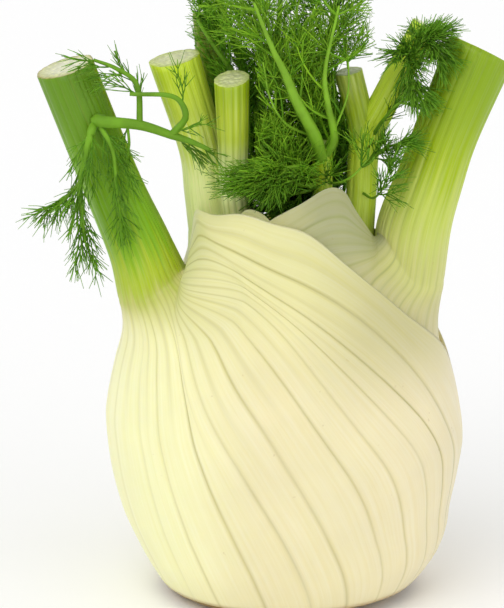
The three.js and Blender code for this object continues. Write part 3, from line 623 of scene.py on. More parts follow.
# One clasping leaf as a closed solid on a grid. Across, it is a rank from margin to margin outside and
# back inside. Along, climb is the rise from the root end to the stalk's foot, and then 1 plus the share
# of the stalk. The margins meet the stalk above its foot, by the axil's lift.
def claspingLeaf(name, leaf):
    columns = leafColumns(leaf)
    u = np.linspace(0, 1, leaf["sheathRows"] + 1)
    rise = 0.5 * u + 0.5 * u**2
    share = np.linspace(0, 1, leaf["stalkRows"] + 1)[1:]
    ranks, inner = columns["all"], columns["inner"]
    gathered = np.sign(ranks) * (1 - np.maximum(0, 1 - np.abs(ranks)) ** leaf["gather"])
    isInner = np.arange(len(ranks)) >= len(columns["rank"])
    angle = np.where(isInner, 180 - ranks * 20, gathered * 159)
    lift = leaf["axil"] * smooth(70, 150, np.abs(angle))
    rings = np.concatenate([
        leafSheath(leaf, columns, rise, angle, lift), leafStem(leaf, columns, share, angle, lift),
    ])
    climb = np.concatenate([rise, 1 + share])
    flesh = {key: hexColour(value) for key, value in leaf["cutTones"].items()}
    cap, capTone = cutEnd(rings[-1], leaf["stalk"]["cut"], leafCut, flesh)
    climbs, allRanks = np.broadcast_arrays(climb[:, None], ranks[None, :])
    tone = leafTone(leaf, rings, climbs, allRanks, furrowLines(leaf, columns, climb))

    # Where the streaks are read, in millimetres across the leaf and along it
    across = np.concatenate([columns["phase"] * 10, leaf["ribCount"] * 10 + np.linspace(0, 22, len(inner))])
    run = np.concatenate([rise * 95, 95 + share * 65])
    streakAt = np.stack(np.broadcast_arrays(across[None, :], run[:, None], np.zeros((1, 1))), axis=-1)
    values = {
        "leafColour": np.concatenate([tone.reshape(-1, 3), capTone]),
        "leafPlace": np.concatenate([streakAt.reshape(-1, 3), np.zeros_like(cap)]),
    }
    quads, triangles, faceMaterial = leafFaces(columns, len(rings), layers[leaf["layer"]]["side"])
    points = np.concatenate([rings.reshape(-1, 3), cap])
    return makePiece(name, points, quads, triangles, [leaf["skin"], cutFlesh], values, faceMaterial)


# Gives a piece its body and hides the solid that it stands for.
def addPiece(piece, nodeName):
    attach(piece, "root")
    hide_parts(nodeName)
    print(piece.name, len(piece.data.polygons), "faces")


leafLeft = {
    "layer": 0, "ribCount": 12, "sheathRows": 110, "stalkRows": 40, "seed": 4, "ripple": 0.9,
    "gather": 2.2, "axil": 3,
    "skin": fleshySheath, "relief": {"depth": 0.34, "width": 0.045, "crown": 0.26},
    "lineWidth": 0.04, "lineTone": 0.72, "green": (0.88, 1.12), "full": (1.15, 1.5), "crest": (1.62, 1.95),
    "stalk": {
        "stations": [
            [-36.6, 0, 89, 10.4], [-40.1, 0, 100, 9.1], [-47.4, 0, 117.5, 8.2], [-60.4, 0, 151.5, 8.0],
        ],
        "cut": (-0.3, -0.15, 1),
    },
    "ribs": [
        [0, [0, 93], [0, 80], [0, 64], [0, 46], [0, 24], [0, 0]],
        [1 / 6, [24, 91], [27, 81], [31, 68], [36, 50], [40, 26], [42, 0]],
        [1 / 3, [38, 92], [46, 82], [54, 67], [60, 50], [69, 27], [79, 0]],
        [5 / 12, [41, 93], [50, 81], [61, 64], [74, 46], [86, 26], [98, 0]],
        [1 / 2, [42, 95], [60, 86], [75, 71], [88, 56], [103, 32], [119, 0]],
        [2 / 3, [41, 97], [64, 95], [86, 86], [108, 64], [127, 38], [142, 0]],
        [5 / 6, [28, 101], [52, 103], [93, 91], [128, 68], [148, 45], [163, 0]],
        [11 / 12, [18, 103], [36, 108.5], [98, 99], [138, 76], [162, 44], [172, 0]],
        [1, [8, 108], [22, 113.4], [98, 111.5], [141, 87], [175, 64], [179, 0]],
    ],
    "tones": {
        "left": "#f8f6c1", "middle": "#efe5ba", "right": "#f0e2bb", "neck": "#e7e2a2", "shade": "#bdb883",
        # painted light: the mid stalk's green is brighter than its own, against the shade the tufts cast on
        # it
        "foot": "#cfd07a", "low": "#b4c936", "mid": "#86ba14", "top": "#669206", "groove": "#aba353",
        "base": "#b08a4e",
    },
    "cutTones": {"pith": "#ecedcc", "ring": "#dcdfa6", "rim": "#b3a968"},
}
leafRight = {
    "layer": 1, "ribCount": 9, "sheathRows": 100, "stalkRows": 44, "seed": 11, "ripple": 1.0,
    "gather": 1.7, "axil": 11,
    "skin": fleshySheath, "relief": {"depth": 0.26, "width": 0.05, "crown": 0.16},
    "lineWidth": 0.05, "lineTone": 0.6, "green": (0.95, 1.35), "full": (1.3, 1.7), "crest": (1.6, 1.95),
    "stalk": {
        "stations": [
            [34.4, 0, 93, 10.6], [36.7, 0, 108, 10.1], [40.4, 0, 120, 9.3],
            [44.6, 0, 133, 8.9], [53.5, 0, 155.7, 9.5],
        ],
        "cut": (0.44, 0.2, 0.88),
    },
    "ribs": [
        [0, [0, 95], [0, 80], [0, 61], [0, 40], [0, 20], [0, 0]],
        [1 / 4, [26, 97], [33, 86], [39, 68], [44, 46], [47, 23], [50, 0]],
        [1 / 2, [33, 100], [50, 94], [66, 78], [78, 56], [86, 30], [92, 0]],
        [3 / 4, [34, 103], [56, 106], [84, 98], [112, 74], [124, 40], [130, 0]],
        [1, [32, 106], [46, 120], [89, 116.5], [128, 98], [150, 52], [158, 0]],
    ],
    "tones": {
        "left": "#f3eec6", "middle": "#e9e3bd", "right": "#f0e4b8", "neck": "#d6d294", "shade": "#bcb684",
        "foot": "#cfd083", "low": "#c6d462", "mid": "#a8c022", "top": "#8cab16", "groove": "#8f9a48",
        "base": "#b08a4e", "wing": "#adae80",
    },
    "cutTones": {"pith": "#eef0d2", "ring": "#dfe6b4", "rim": "#9fb843"},
}
leafMidLeft = {
    "layer": 2, "ribCount": 5, "sheathRows": 60, "stalkRows": 44, "seed": 23, "ripple": 0.6,
    "gather": 1.3, "axil": 0,
    "skin": greenStalk, "relief": {"depth": 0.3, "width": 0.09, "crown": 0.25},
    "lineWidth": 0.08, "lineTone": 0.4, "green": (0.9, 1.3), "full": (1.5, 1.8), "crest": (1.75, 2),
    "stalk": {
        "stations": [
            [-19.6, 4, 106, 7.4], [-21.3, 4, 116, 6.7], [-22.9, 4, 127.5, 6.4], [-30.5, 4, 153.3, 7.1],
        ],
        "cut": (-0.2, -0.12, 1),
    },
    "ribs": [
        [0, [0, 104], [0, 86], [0, 64], [0, 42], [0, 20], [0, 0]],
        [1 / 2, [40, 106], [46, 94], [52, 74], [58, 50], [62, 24], [64, 0]],
        [1, [44, 109], [64, 115], [86, 109], [104, 80], [112, 40], [116, 0]],
    ],
    "tones": {
        "left": "#eeeac4", "middle": "#eeeac4", "right": "#eeeac4", "neck": "#eaeca8", "shade": "#eaeca8",
        # painted light: the foot and the low stalk, pale yellow-green of their own, are made paler still
        # against the shade of the stalks and threads around them
        "foot": "#f2fab0", "low": "#f6ffac", "mid": "#dcec5c", "top": "#cbe23c", "groove": "#bccb54",
        "base": "#b08a4e",
    },
    "cutTones": {"pith": "#dfe3ac", "ring": "#d2dc90", "rim": "#bccc5c"},
}
leafFork = {
    "layer": 3, "ribCount": 4, "sheathRows": 50, "stalkRows": 60, "seed": 31, "ripple": 0.5,
    "gather": 1.3, "axil": 0,
    "skin": greenStalk, "relief": {"depth": 0.25, "width": 0.09, "crown": 0.2},
    "lineWidth": 0.08, "lineTone": 0.5, "green": (0.9, 1.2), "full": (1.2, 1.5), "crest": (1.6, 1.95),
    "stalk": {
        "stations": [
            [20.6, 4, 102, 4.6], [21.6, 4, 115, 4.3], [22.7, 4, 130.3, 4.3],
            [27.9, 4, 141.6, 4], [38.6, 4, 162.5, 3.7],
        ],
        "cut": (0.45, 0, 0.9),
    },
    "ribs": [
        [0, [0, 102], [0, 84], [0, 62], [0, 41], [0, 20], [0, 0]],
        [1 / 2, [36, 104], [42, 90], [50, 72], [58, 50], [62, 24], [64, 0]],
        [1, [50, 104], [66, 104], [84, 92], [100, 64], [108, 32], [112, 0]],
    ],
    "tones": {
        "left": "#eceac2", "middle": "#eceac2", "right": "#eceac2", "neck": "#d5d998", "shade": "#d5d998",
        # painted light: the mid and top of the stalk are a brighter green than its own, against the shade its
        # neighbours cast on it
        "foot": "#c4d46c", "low": "#d2e854", "mid": "#d4ec44", "top": "#d0e844", "groove": "#a8c434",
        "base": "#b08a4e",
    },
    "cutTones": {"pith": "#e6edc0", "ring": "#d3e09a", "rim": "#8fb13a"},
}
for nodeName, pieceName, leaf, slotName in (
    ("leaf_left", "leftLeaf", leafLeft, "sheath"), ("leaf_right", "rightLeaf", leafRight, "sheath"),
    ("leaf_mid_left", "midLeftLeaf", leafMidLeft, "stalk"), ("leaf_fork", "forkLeaf", leafFork, "stalk"),
):
    addPiece(claspingLeaf(pieceName, leaf), nodeName)


stemCut = {
    "inwards": (0.98, 0.9, 0.78, 0.6, 0.4, 0.2), "wave": 0.1, "step": 0, "proud": 0.08, "ringAt": 0.95,
    "tip": 0,
}
stemSlide = 0.8
stemRidge = 0.035


# A round stem: rings round a curve, radius r(t) * (1 - ridge * cos^8(n a / 2)), closed below by a fan
# and above by a cut end.
def roundStem(name, stem):
    count, rows = stem["sides"], stem["rows"]
    share = np.linspace(0, 1, rows + 1)
    a = np.arange(count) * 2 * np.pi / count
    valley = np.cos(a * stem["ribCount"] / 2) ** 8
    radius = radiusAlong(stem["stations"], share)[:, None] * (1 - stemRidge * valley)
    rings = stalkWall(stem, 1, a, share, radius, stemSlide)
    c = {key: hexColour(value) for key, value in stem["tones"].items()}
    z = rings[..., 2]
    tone = blend(c["low"], c["mid"], smooth(*stem["rise"], z))
    tone = blend(tone, c["top"], smooth(*stem["crest"], z))
    tone = blend(tone, c["groove"], 0.5 * np.broadcast_to(valley, z.shape))
    cap, capTone = cutEnd(rings[-1], stem["cut"], stemCut, c)
    place = np.stack(np.broadcast_arrays(a[None, :] * 5, share[:, None] * 100, np.zeros((1, 1))), axis=-1)
    values = {
        "leafColour": np.concatenate([tone.reshape(-1, 3), capTone, c["low"][None]]),
        "leafPlace": np.concatenate([place.reshape(-1, 3), np.zeros((len(cap) + 1, 3))]),
    }
    tall = rows + 1 + len(stemCut["inwards"])
    quadMaterial = np.repeat((np.arange(tall - 1) >= rows).astype(int), count)
    fan = ringFan((tall - 1) * count, count, tall * count)
    under = ringFan(0, count, tall * count + 1)[:, [1, 0, 2]]
    return makePiece(
        name, np.concatenate([rings.reshape(-1, 3), cap, curvePoints(stem["stations"], [0])]),
        ringQuads(tall, count), np.concatenate([fan, under]), [greenStalk, cutFlesh], values,
        np.concatenate([quadMaterial, np.ones(count, int), np.zeros(count, int)]),
    )


stubStem = {
    "stations": [
        [-5, -5, 22, 4], [-7, -5, 55, 6], [-7.5, -5, 85, 5], [-10.5, -6, 100, 3.9], [-12.8, -7, 110, 3.8],
        [-14, -7.5, 121, 4], [-14.2, -7.5, 132, 4.3], [-14.5, -7.5, 149.5, 4.9],
    ],
    "sides": 72, "rows": 120, "ribCount": 12, "cut": (-0.12, -0.3, 1),
    "rise": (124, 134), "crest": (138, 147),
    "tones": {"low": "#f0f8b0", "mid": "#b8c93e", "top": "#a4bd22", "groove": "#8da32c", "pith": "#dfe4a8",
              "ring": "#cfda88"},
}
backStem = {
    "stations": [
        [-6, 8, 22, 4], [-9, 8.5, 60, 5], [-8, 8, 90, 4], [-9.5, 9, 102, 3.8], [-14, 12.5, 115, 4],
        [-19.2, 15.5, 136.7, 4.2], [-21.3, 16, 164.3, 4.4],
    ],
    "sides": 72, "rows": 120, "ribCount": 14, "cut": (-0.1, 0.05, 1), "rise": (110, 130), "crest": (140, 158),
    "tones": {"low": "#c5cf74", "mid": "#86a334", "top": "#8f9a3a", "groove": "#5f7d1d", "pith": "#dfe6b5",
              "ring": "#b9c86c"},
}
forkStub = {
    "stations": [[22.6, 4, 120, 3.0], [22.4, 4, 127, 3.5], [20.4, 4, 138.8, 3.8], [17.6, 4, 149.6, 4]],
    "sides": 60, "rows": 50, "ribCount": 11, "cut": (-0.2, -0.1, 1), "rise": (118, 130), "crest": (138, 147),
    "tones": {"low": "#bdd443", "mid": "#bcd440", "top": "#cada62", "groove": "#84a126", "pith": "#e3e9bb",
              "ring": "#c9d88a"},
}
youngStem = {
    "stations": [
        [4, -2, 24, 4], [6, -2, 60, 7], [8, -3, 95, 4.4], [10.4, -4, 115, 2.9], [10.3, -4, 128.5, 2.9],
        [10.2, -4, 130.6, 3.4],
    ],
    "sides": 48, "rows": 90, "ribCount": 9, "cut": (0, -0.2, 1), "rise": (105, 120), "crest": (122, 130),
    "tones": {"low": "#d6df80", "mid": "#b4cc3c", "top": "#a4c430", "groove": "#6f9424", "pith": "#bfd47a",
              "ring": "#a5c258"},
}
for nodeName, pieceName, stem in (
    ("leaf_stub", "cutStub", stubStem), ("leaf_back", "backStalk", backStem),
    ("leaf_fork", "forkBranchStub", forkStub), ("leaf_young", "youngStalk", youngStem),
):
    addPiece(roundStem(pieceName, stem), nodeName)


# The root plate: an ellipse carried up a few heights, its underside cut flat, with a ragged rim.
rootPlate = {
    "rings": [(26.4, 22.4, 0.0), (29.6, 25.6, 0.25), (32.2, 28.0, 1.2), (33.4, 29.0, 2.2), (31, 27, 3.2),
              (26.6, 22.2, 5.1), (18.6, 14.2, 8), (12.6, 8.2, 10.1)],
    "sides": 128,
}


def trimmedPlate(name, plate):
    a = np.arange(plate["sides"]) * 2 * np.pi / plate["sides"]
    wide, deep, high = np.array(plate["rings"]).T
    ragged = 1 + 0.008 * np.sin(9 * a + 1) + 0.006 * np.sin(23 * a)
    rings = np.stack([
        wide[:, None] * np.cos(a) * ragged, deep[:, None] * np.sin(a) * ragged,
        high[:, None] * np.ones_like(a),
    ], axis=-1)
    count, rows = plate["sides"], len(wide)
    inner = rings[:1] * np.array([0.8, 0.55, 0.3])[:, None, None] * np.array([1, 1, 0])
    points = np.concatenate([inner[::-1].reshape(-1, 3), rings.reshape(-1, 3), [[0, 0, 0], [0, 0, high[-1]]]])
    tall = rows + len(inner)
    fan = ringFan((tall - 1) * count, count, tall * count + 1)
    under = ringFan(0, count, tall * count)[:, [1, 0, 2]]
    return makePiece(name, points, ringQuads(tall, count), np.concatenate([fan, under]), [corkyRootCut()])


# Corky stem base cut with a knife and dried: tan, with browner rings and fibre ends about 1 mm apart.
def corkyRootCut():
    made, tree, surface = newMaterial("driedRootCut", {"Roughness": 0.8, "IOR": 1.45})
    spot = {"Vector": addNode(tree, "ShaderNodeTexCoord").outputs["Object"]}
    rings = addNode(
        tree, "ShaderNodeTexWave", {"wave_type": "RINGS", "rings_direction": "Z"},
        {"Scale": 60, "Distortion": 3, "Detail": 2}, spot,
    )
    ends = addNode(
        tree, "ShaderNodeTexVoronoi", sockets={"Scale": 800}, links=spot
    )
    patch = addNode(
        tree, "ShaderNodeTexNoise", sockets={"Scale": 120, "Detail": 4}, links=spot,
    )
    base = addNode(
        tree, "ShaderNodeMix", {"data_type": "RGBA"},
        {6: (*hexColour("#d8c694"), 1), 7: (*hexColour("#a9814a"), 1)}, {0: patch.outputs[0]},
    )
    ringed = addNode(
        tree, "ShaderNodeMix", {"data_type": "RGBA", "blend_type": "MULTIPLY"},
        {0: 0.25}, {6: base.outputs[2], 7: rings.outputs["Color"]},
    )
    relief = addNode(
        tree, "ShaderNodeBump", sockets={"Strength": 0.6, "Distance": 0.5 * mm},
        links={"Height": ends.outputs[0]},
    )
    tree.links.new(ringed.outputs[2], surface.inputs["Base Color"])
    tree.links.new(relief.outputs[0], surface.inputs["Normal"])
    return made


addPiece(trimmedPlate("rootDisc", rootPlate), "root_plate")
print("leaves, stems and root plate made")


# Feathery blades. Each level of threads grows on the one before: a thread leaves its bearer at a lean
# from the bearer's way, in pairs that turn round it, and curves forwards: base + L * (t * out + t^2 *
# (bend * way - out / 6 + sag)). A level is one array of (thread, point along it, x y z).
threadSag = 0.05
threadBend = 0.3


def sprout(bearers, draw, level):
    count, steps = len(bearers), level["points"]
    shares = np.linspace(level["first"], level["last"], level["nodes"])
    pairs = level["pair"]
    at = np.tile(np.repeat(shares, pairs), (count, 1))
    at = np.clip(at + draw.uniform(-0.03, 0.03, at.shape), 0, 1)
    along = at * (bearers.shape[1] - 1)
    i = np.minimum(along.astype(int), bearers.shape[1] - 2)
    w = (along - i)[..., None]
    who = np.arange(count)[:, None]
    base = bearers[who, i] * (1 - w) + bearers[who, i + 1] * w
    way = unit(bearers[who, i + 1] - bearers[who, i])
    across = unit(np.cross(way, np.array([0.23, -0.9, 0.35])))
    over = np.cross(way, across)
    node = np.repeat(np.arange(len(shares)), pairs)
    turn = draw.uniform(0, 2 * np.pi, (count, 1)) + node * level["twist"] + np.tile(
        np.arange(pairs) * 2 * np.pi / pairs, len(shares)
    ) + draw.uniform(-0.4, 0.4, at.shape)
    outward = across * np.cos(turn)[..., None] + over * np.sin(turn)[..., None]
    lean = level["lean"] + draw.uniform(-0.2, 0.2, at.shape)
    out = way * np.cos(lean)[..., None] + outward * np.sin(lean)[..., None]
    wild = level.get("wild", 0.13)
    out = unit(out + draw.normal(0, wild, out.shape) + np.array(level.get("pull", (0, 0, 0))))
    length = level["length"] * (1 - level["taper"] * at) * draw.uniform(0.75, 1.2, at.shape)
    t = np.linspace(0, 1, steps)[:, None]
    stray = draw.normal(0, wild, out.shape) + np.array([0, 0, -threadSag])
    curve = threadBend * way - out / 6 + stray
    grown = out[..., None, :] * t + curve[..., None, :] * t**2
    return (base[..., None, :] + length[..., None, None] * grown).reshape(-1, steps, 3)


# Balls along each stalk that threads keep clear of: (x, y, z, radius).
def postsAlong(stations):
    at = np.linspace(0, 1, 40)[::2]
    return np.column_stack([curvePoints(stations, at), radiusAlong(stations, at)])


stalks = [leaf["stalk"] for leaf in (leafLeft, leafRight, leafMidLeft, leafFork)]
posts = np.concatenate([postsAlong(stalk["stations"]) for stalk in [*stalks, stubStem, backStem, forkStub]])
postGap = 0.35

# The height of the bulb's mouth: more at the rim, at the sides and at the right of the front
mouth = {"middle": 106, "rim": 6.5, "sides": 5, "frontRight": 9}
raggedness = 0.8


# Which threads are free: above the bulb's skin or its mouth, inside their room, whose sides are ragged
# by raggedness * (1 + sin(0.6 x + 0.8 y + 0.7 z)), but not in a closed corner of it, and off every post.
def free(lines, room, closed):
    body = lines[:, 1:]
    x, y, z = body[..., 0], body[..., 1], body[..., 2]
    wide, deep = halfWidth(x, z) + 1, through(bulb["halfDepth"], z) + 1
    rim = np.hypot(x / wide, y / deep)
    least = mouth["middle"] + mouth["rim"] * smooth(0.35, 0.65, rim)
    least = least + mouth["sides"] * smooth(8, 24, np.abs(x))
    least = least + mouth["frontRight"] * smooth(0.5, 0.7, rim) * smooth(-4, 4, x) * (y < 0)
    kept = ((z > least) | ((x / wide) ** 2 + (y / deep) ** 2 > 1)).all(axis=1)
    low, high = np.array(room[0]), np.array(room[1])
    wave = raggedness * (1 + np.sin(0.6 * x + 0.8 * y + 0.7 * z))
    ragged = wave[..., None] * np.array([1, 1, 0])
    kept &= ((body > low + ragged) & (body < high - ragged)).all(axis=(1, 2))
    for near, far in closed:
        kept &= ~((body > np.array(near)) & (body < np.array(far))).all(axis=-1).any(axis=1)
    for ball in posts:
        kept &= ~(np.linalg.norm(body - ball[:3], axis=-1) < ball[3] + postGap).any(axis=1)
    return lines[kept]


# Threads as three-sided tapering tubes, each point ringed by radius r0 + (r1 - r0) * t.
def threadMesh(groups):
    points, quads, triangles, colours = [], [], [], []
    start = 0
    for lines, thick, thin, sides, tint in groups:
        count, steps = lines.shape[:2]
        if count == 0:
            continue
        way = unit(np.gradient(lines, axis=1))
        across = unit(np.cross(way, np.array([0.31, 0.22, 0.93]) + 0 * way))
        over = np.cross(way, across)
        a = np.arange(sides) * 2 * np.pi / sides
        radius = np.linspace(thick, thin, steps)[None, :, None, None]
        ring = lines[:, :, None] + radius * (
            across[:, :, None] * np.cos(a)[:, None] + over[:, :, None] * np.sin(a)[:, None]
        )
        index = start + np.arange(count * steps * sides).reshape(count, steps, sides)
        low, high = index[:, :-1], index[:, 1:]
        quads.append(
            np.stack([low, np.roll(low, -1, 2), np.roll(high, -1, 2), high], axis=-1).reshape(-1, 4)
        )
        for k in range(1, sides - 1):
            triangles.append(np.stack([index[:, 0, 0], index[:, 0, k + 1], index[:, 0, k]], axis=-1))
            triangles.append(np.stack([index[:, -1, 0], index[:, -1, k], index[:, -1, k + 1]], axis=-1))
        points.append(ring.reshape(-1, 3))
        colours.append(np.broadcast_to(tint[:, :, None, :], (count, steps, sides, 3)).reshape(-1, 3))
        start += count * steps * sides
    return [np.concatenate(part) for part in (points, quads, triangles, colours)]


# A thread's colour: a seeded mix of deep and bright green, paler towards its tip, with painted shade
# that deepens it low in the blade, where its neighbours shade it.
def threadTint(lines, draw, tones, shade):
    c = {key: hexColour(value) for key, value in tones.items()}
    count, steps = lines.shape[:2]
    own = np.broadcast_to(draw.uniform(0, 1, (count, 1)), (count, steps))
    tint = blend(c["deep"], c["bright"], own)
    tint = blend(tint, c["tip"], 0.35 * np.broadcast_to(np.linspace(0, 1, steps), (count, steps)))
    # painted shade: below about 138 mm the thread turns towards the dark tone, by the blade's shade amount
    return blend(tint, c["dark"], shade * (1 - smooth(112, 138, lines[..., 2])))


# One blade: a few main ribs, and three levels of threads on each.
def blade(name, spray):
    draw = np.random.default_rng(spray["seed"])
    groups = []
    for mainRib in spray["ribs"]:
        stations = np.array(mainRib["stations"], float)
        bearers = curvePoints(stations, np.linspace(0, 1, 40))[None]
        tint = np.broadcast_to(hexColour(spray["tones"]["rib"]), bearers.shape)
        groups.append((bearers, stations[0, 3], stations[-1, 3], 6, tint))
        for key in ("stems", "sprigs", "threads"):
            level = {**spray["levels"][key], **mainRib["changes"].get(key, {})}
            bearers = free(sprout(bearers, draw, level), spray["room"], spray["closed"])
            tint = threadTint(bearers, draw, spray["tones"], spray["shade"])
            groups.append((bearers, level["thick"], level["thin"], 3, tint))
    points, quads, triangles, colours = threadMesh(groups)
    return makePiece(name, points, quads, triangles, [thread], {"leafColour": colours})


# dark is the painted shade tone low in each blade
freshGreen = {"deep": "#4a850b", "bright": "#86b81a", "tip": "#96c62c", "dark": "#336a08", "rib": "#82b22a"}
deepGreen = {"deep": "#3f7a09", "bright": "#6ca412", "tip": "#7aae1e", "dark": "#2b5c06", "rib": "#6f9f20"}
tuftGreen = {"deep": "#467d10", "bright": "#6fa31c", "tip": "#7cae2c", "dark": "#3b740a", "rib": "#6f9f20"}
bushLevels = {
    "stems": {"nodes": 13, "pair": 2, "first": 0.12, "last": 0.97, "twist": 1.9, "lean": 0.95, "length": 21,
              "taper": 0.45, "points": 7, "thick": 0.42, "thin": 0.22},
    "sprigs": {"nodes": 6, "pair": 2, "first": 0.18, "last": 0.95, "twist": 1.3, "lean": 0.75, "length": 9.5,
               "taper": 0.4, "points": 5, "thick": 0.2, "thin": 0.14},
    "threads": {"nodes": 3, "pair": 2, "first": 0.2, "last": 0.9, "twist": 1.2, "lean": 0.6, "length": 6.5,
                "taper": 0.3, "points": 3, "thick": 0.14, "thin": 0.07},
}
curly = {"nodes": 10, "length": 10, "first": 0.2, "wild": 0.22}


# A main rib of a blade: its [x, y, z, radius] stations, and what it changes in the blade's levels.
def rib(*stations, **changes):
    return {"stations": stations, "changes": changes}


frontBush = {
    "seed": 71, "tones": freshGreen, "shade": 0.7, "levels": bushLevels,
    "room": ((-27, -28, 107), (25, 3, 177)),
    "closed": (((-40, -30, 129), (-8.5, -3, 158)), ((14.5, -30, 138), (40, 20, 153)),
               ((-40, -30, 130), (40, -15, 180)), ((-40, -40, 100), (-9, -12, 118.5)),
               ((-10, -40, 100), (1, -12, 115.5))),
    "ribs": [
        rib([10, -5.5, 127, 2.1], [8.2, -10, 134, 2.0], [3, -14.5, 144.6, 1.8], [-0.1, -15.5, 152.2, 1.5],
            [-3.6, -15.5, 159.2, 1.0], [-8.5, -13, 171, 0.4]),
        rib([10.6, -4.8, 127, 1.5], [13.4, -7.6, 132.5, 1.2], [11.6, -12, 143, 0.9],
            [10.6, -13.5, 151.4, 0.6], [14.4, -11, 170, 0.3]),
        rib([9.6, -5, 122, 0.9], [4, -12, 126, 0.8], [-3, -16, 125, 0.7], [-9, -18, 120, 0.5],
            stems=curly),
        rib([9, -5, 119, 0.9], [3, -9, 121, 0.8], [-3, -10, 126, 0.7], [-7, -9, 132, 0.5], stems=curly),
        rib([8, -4, 118, 0.6], [2, -8, 117.5, 0.5], [-5, -9, 116.5, 0.4], [-11, -8, 118, 0.3],
            stems=curly),
        rib([8, -6, 133, 0.45], [0, -11, 138, 0.35], [-4, -13, 145, 0.3], [-6, -13, 155, 0.2]),
        rib([11, -5, 130, 0.45], [14, -9, 137, 0.35], [17, -10, 146, 0.3], [17, -10, 156, 0.2]),
        rib([10, -4, 120, 0.45], [15, -9, 121, 0.35], [19, -12, 124, 0.3], [23, -13, 129, 0.2],
            stems=curly),
    ],
}
backBush = {
    "seed": 83, "tones": deepGreen, "shade": 0.8, "levels": bushLevels,
    "room": ((-28, -2, 106), (25, 18, 177)),
    "closed": (((15.5, -30, 140), (40, 20, 152)), ((-40, -10, 129), (-9, 0, 158))),
    "ribs": [
        rib([0, 6, 100, 2], [-1, 6.5, 112, 1.9], [-6.2, 8, 135, 1.5], [-12.3, 9, 152, 1.1],
            [-18, 9.5, 169, 0.8]),
        rib([-1, 6.5, 112, 1.5], [1.6, 8, 135, 1.3], [9.9, 9, 152, 1], [15, 9, 169, 0.7]),
        rib([0, 7, 118, 1.4], [-1, 9, 135, 1.2], [-2, 10, 152, 1], [-1, 10, 171, 0.7]),
        rib([-6.2, 8, 135, 1], [-12, 5, 146, 0.8], [-19, 4, 156, 0.7], [-24, 4, 164, 0.5]),
        rib([0, 7, 118, 1], [8, 6, 128, 0.8], [16, 4, 136, 0.6], [20, 2, 140, 0.4]),
        rib([-11, 9, 108, 0.6], [-7, 3, 110.5, 0.5], [0, 3, 111, 0.4], [7, 6, 113, 0.3], stems=curly),
        rib([-8, 0, 110, 0.6], [-4, 4, 112, 0.5], [0, 8, 113, 0.4], [5, 10, 116, 0.3], stems=curly),
        rib([16, 9, 110, 0.6], [17.5, 10, 120, 0.5], [15, 10, 132, 0.4], [16, 11, 142, 0.3], stems=curly),
        rib([12, 3, 109, 0.6], [14, 6, 116, 0.5], [17, 9, 124, 0.4], [19, 9, 132, 0.3], stems=curly),
        rib([0, 7, 110, 1], [8, 4, 118, 0.9], [14, 4, 128, 0.8], [16, 5, 142, 0.5]),
        rib([-1, 7, 110, 1], [-5, 3, 117, 0.9], [-9, 2, 127, 0.8], [-10, 2, 142, 0.5]),
        rib([0, 5, 108, 0.8], [-3, 1, 113, 0.6], [-8, -1, 116, 0.5], [-14, 0, 119, 0.3], stems=curly),
        rib([0, 5, 108, 1], [4, 2, 114, 0.9], [4, 1, 122, 0.8], [2, 2, 134, 0.5], stems=curly),
        rib([0, 7, 108, 1], [-2, 10, 116, 0.9], [-9, 13, 122, 0.8], [-14, 14, 132, 0.5], stems=curly),
        rib([0, 7, 108, 1], [4, 11, 116, 0.9], [10, 13, 124, 0.8], [15, 12, 134, 0.5], stems=curly),
    ],
}
sparseLevels = {
    "stems": {"nodes": 6, "pair": 2, "first": 0.1, "last": 0.96, "twist": 0.5, "lean": 0.6, "length": 12,
              "taper": 0.4, "points": 6, "thick": 0.3, "thin": 0.18, "wild": 0.1},
    "sprigs": {"nodes": 3, "pair": 2, "first": 0.25, "last": 0.9, "twist": 0.6, "lean": 0.5, "length": 7,
               "taper": 0.4, "points": 4, "thick": 0.19, "thin": 0.14, "wild": 0.07},
    "threads": {"nodes": 1, "pair": 2, "first": 0.45, "last": 0.45, "twist": 1.2, "lean": 0.45, "length": 4.5,
                "taper": 0.1, "points": 3, "thick": 0.15, "thin": 0.08, "wild": 0.06},
}
twig = {"nodes": 3, "length": 9, "pair": 1}
short = {"length": 4.5}
leftTufts = {
    "seed": 97, "tones": tuftGreen, "shade": 0.0, "levels": sparseLevels,
    "room": ((-75, -25, 78), (-9, 1, 160)),
    "closed": (),
    "ribs": [
        rib([-50.5, -4, 137.6, 2.2], [-50.8, -9.8, 138.2, 2.4], [-39.5, -10, 137.2, 2.2],
            [-30.3, -10, 134.2, 2.0], [-26, -11, 133, 1.2], [-20.5, -12.5, 130.9, 0.6],
            stems={"nodes": 4, "first": 0.62, "length": 9, "pair": 1}),
        rib([-31, -10, 134.4, 1.1], [-27, -11.5, 139.9, 0.9], [-29.5, -12, 145, 0.8],
            [-42.1, -11, 146, 0.6], stems=twig),
        rib([-39.5, -10, 137.2, 0.9], [-40.5, -9, 148.6, 0.8], [-46, -9, 152.7, 0.7], [-52, -9, 155, 0.5],
            stems={**twig, "nodes": 5}),
        rib([-43, -10, 137.5, 0.5], [-42.5, -11, 132, 0.4], [-43.5, -11, 127, 0.3], stems=twig,
            sprigs=short),
        rib([-52, -8, 137, 1.3], [-52.6, -11.8, 136, 1.2], [-54.6, -13, 127.7, 1.0],
            [-56, -13.5, 119.6, 0.8], [-55.5, -13.5, 112, 0.6], [-55, -13, 105, 0.4],
            stems={"nodes": 9, "length": 15, "pull": (0, 0, -0.9)}),
        rib([-51, -10, 138, 0.8], [-47, -12.5, 131, 0.5], [-46, -12.5, 121, 0.4], [-45, -12, 112, 0.3],
            stems={"nodes": 5, "length": 11, "pull": (0.1, 0, -0.9)}),
        rib([-55.4, -13.3, 122.6, 0.6], [-60, -12.5, 117.5, 0.45], [-64.5, -11.5, 114.5, 0.3],
            stems={"nodes": 4, "length": 6, "pull": (-0.3, 0, -0.4)}, sprigs=short),
    ],
}
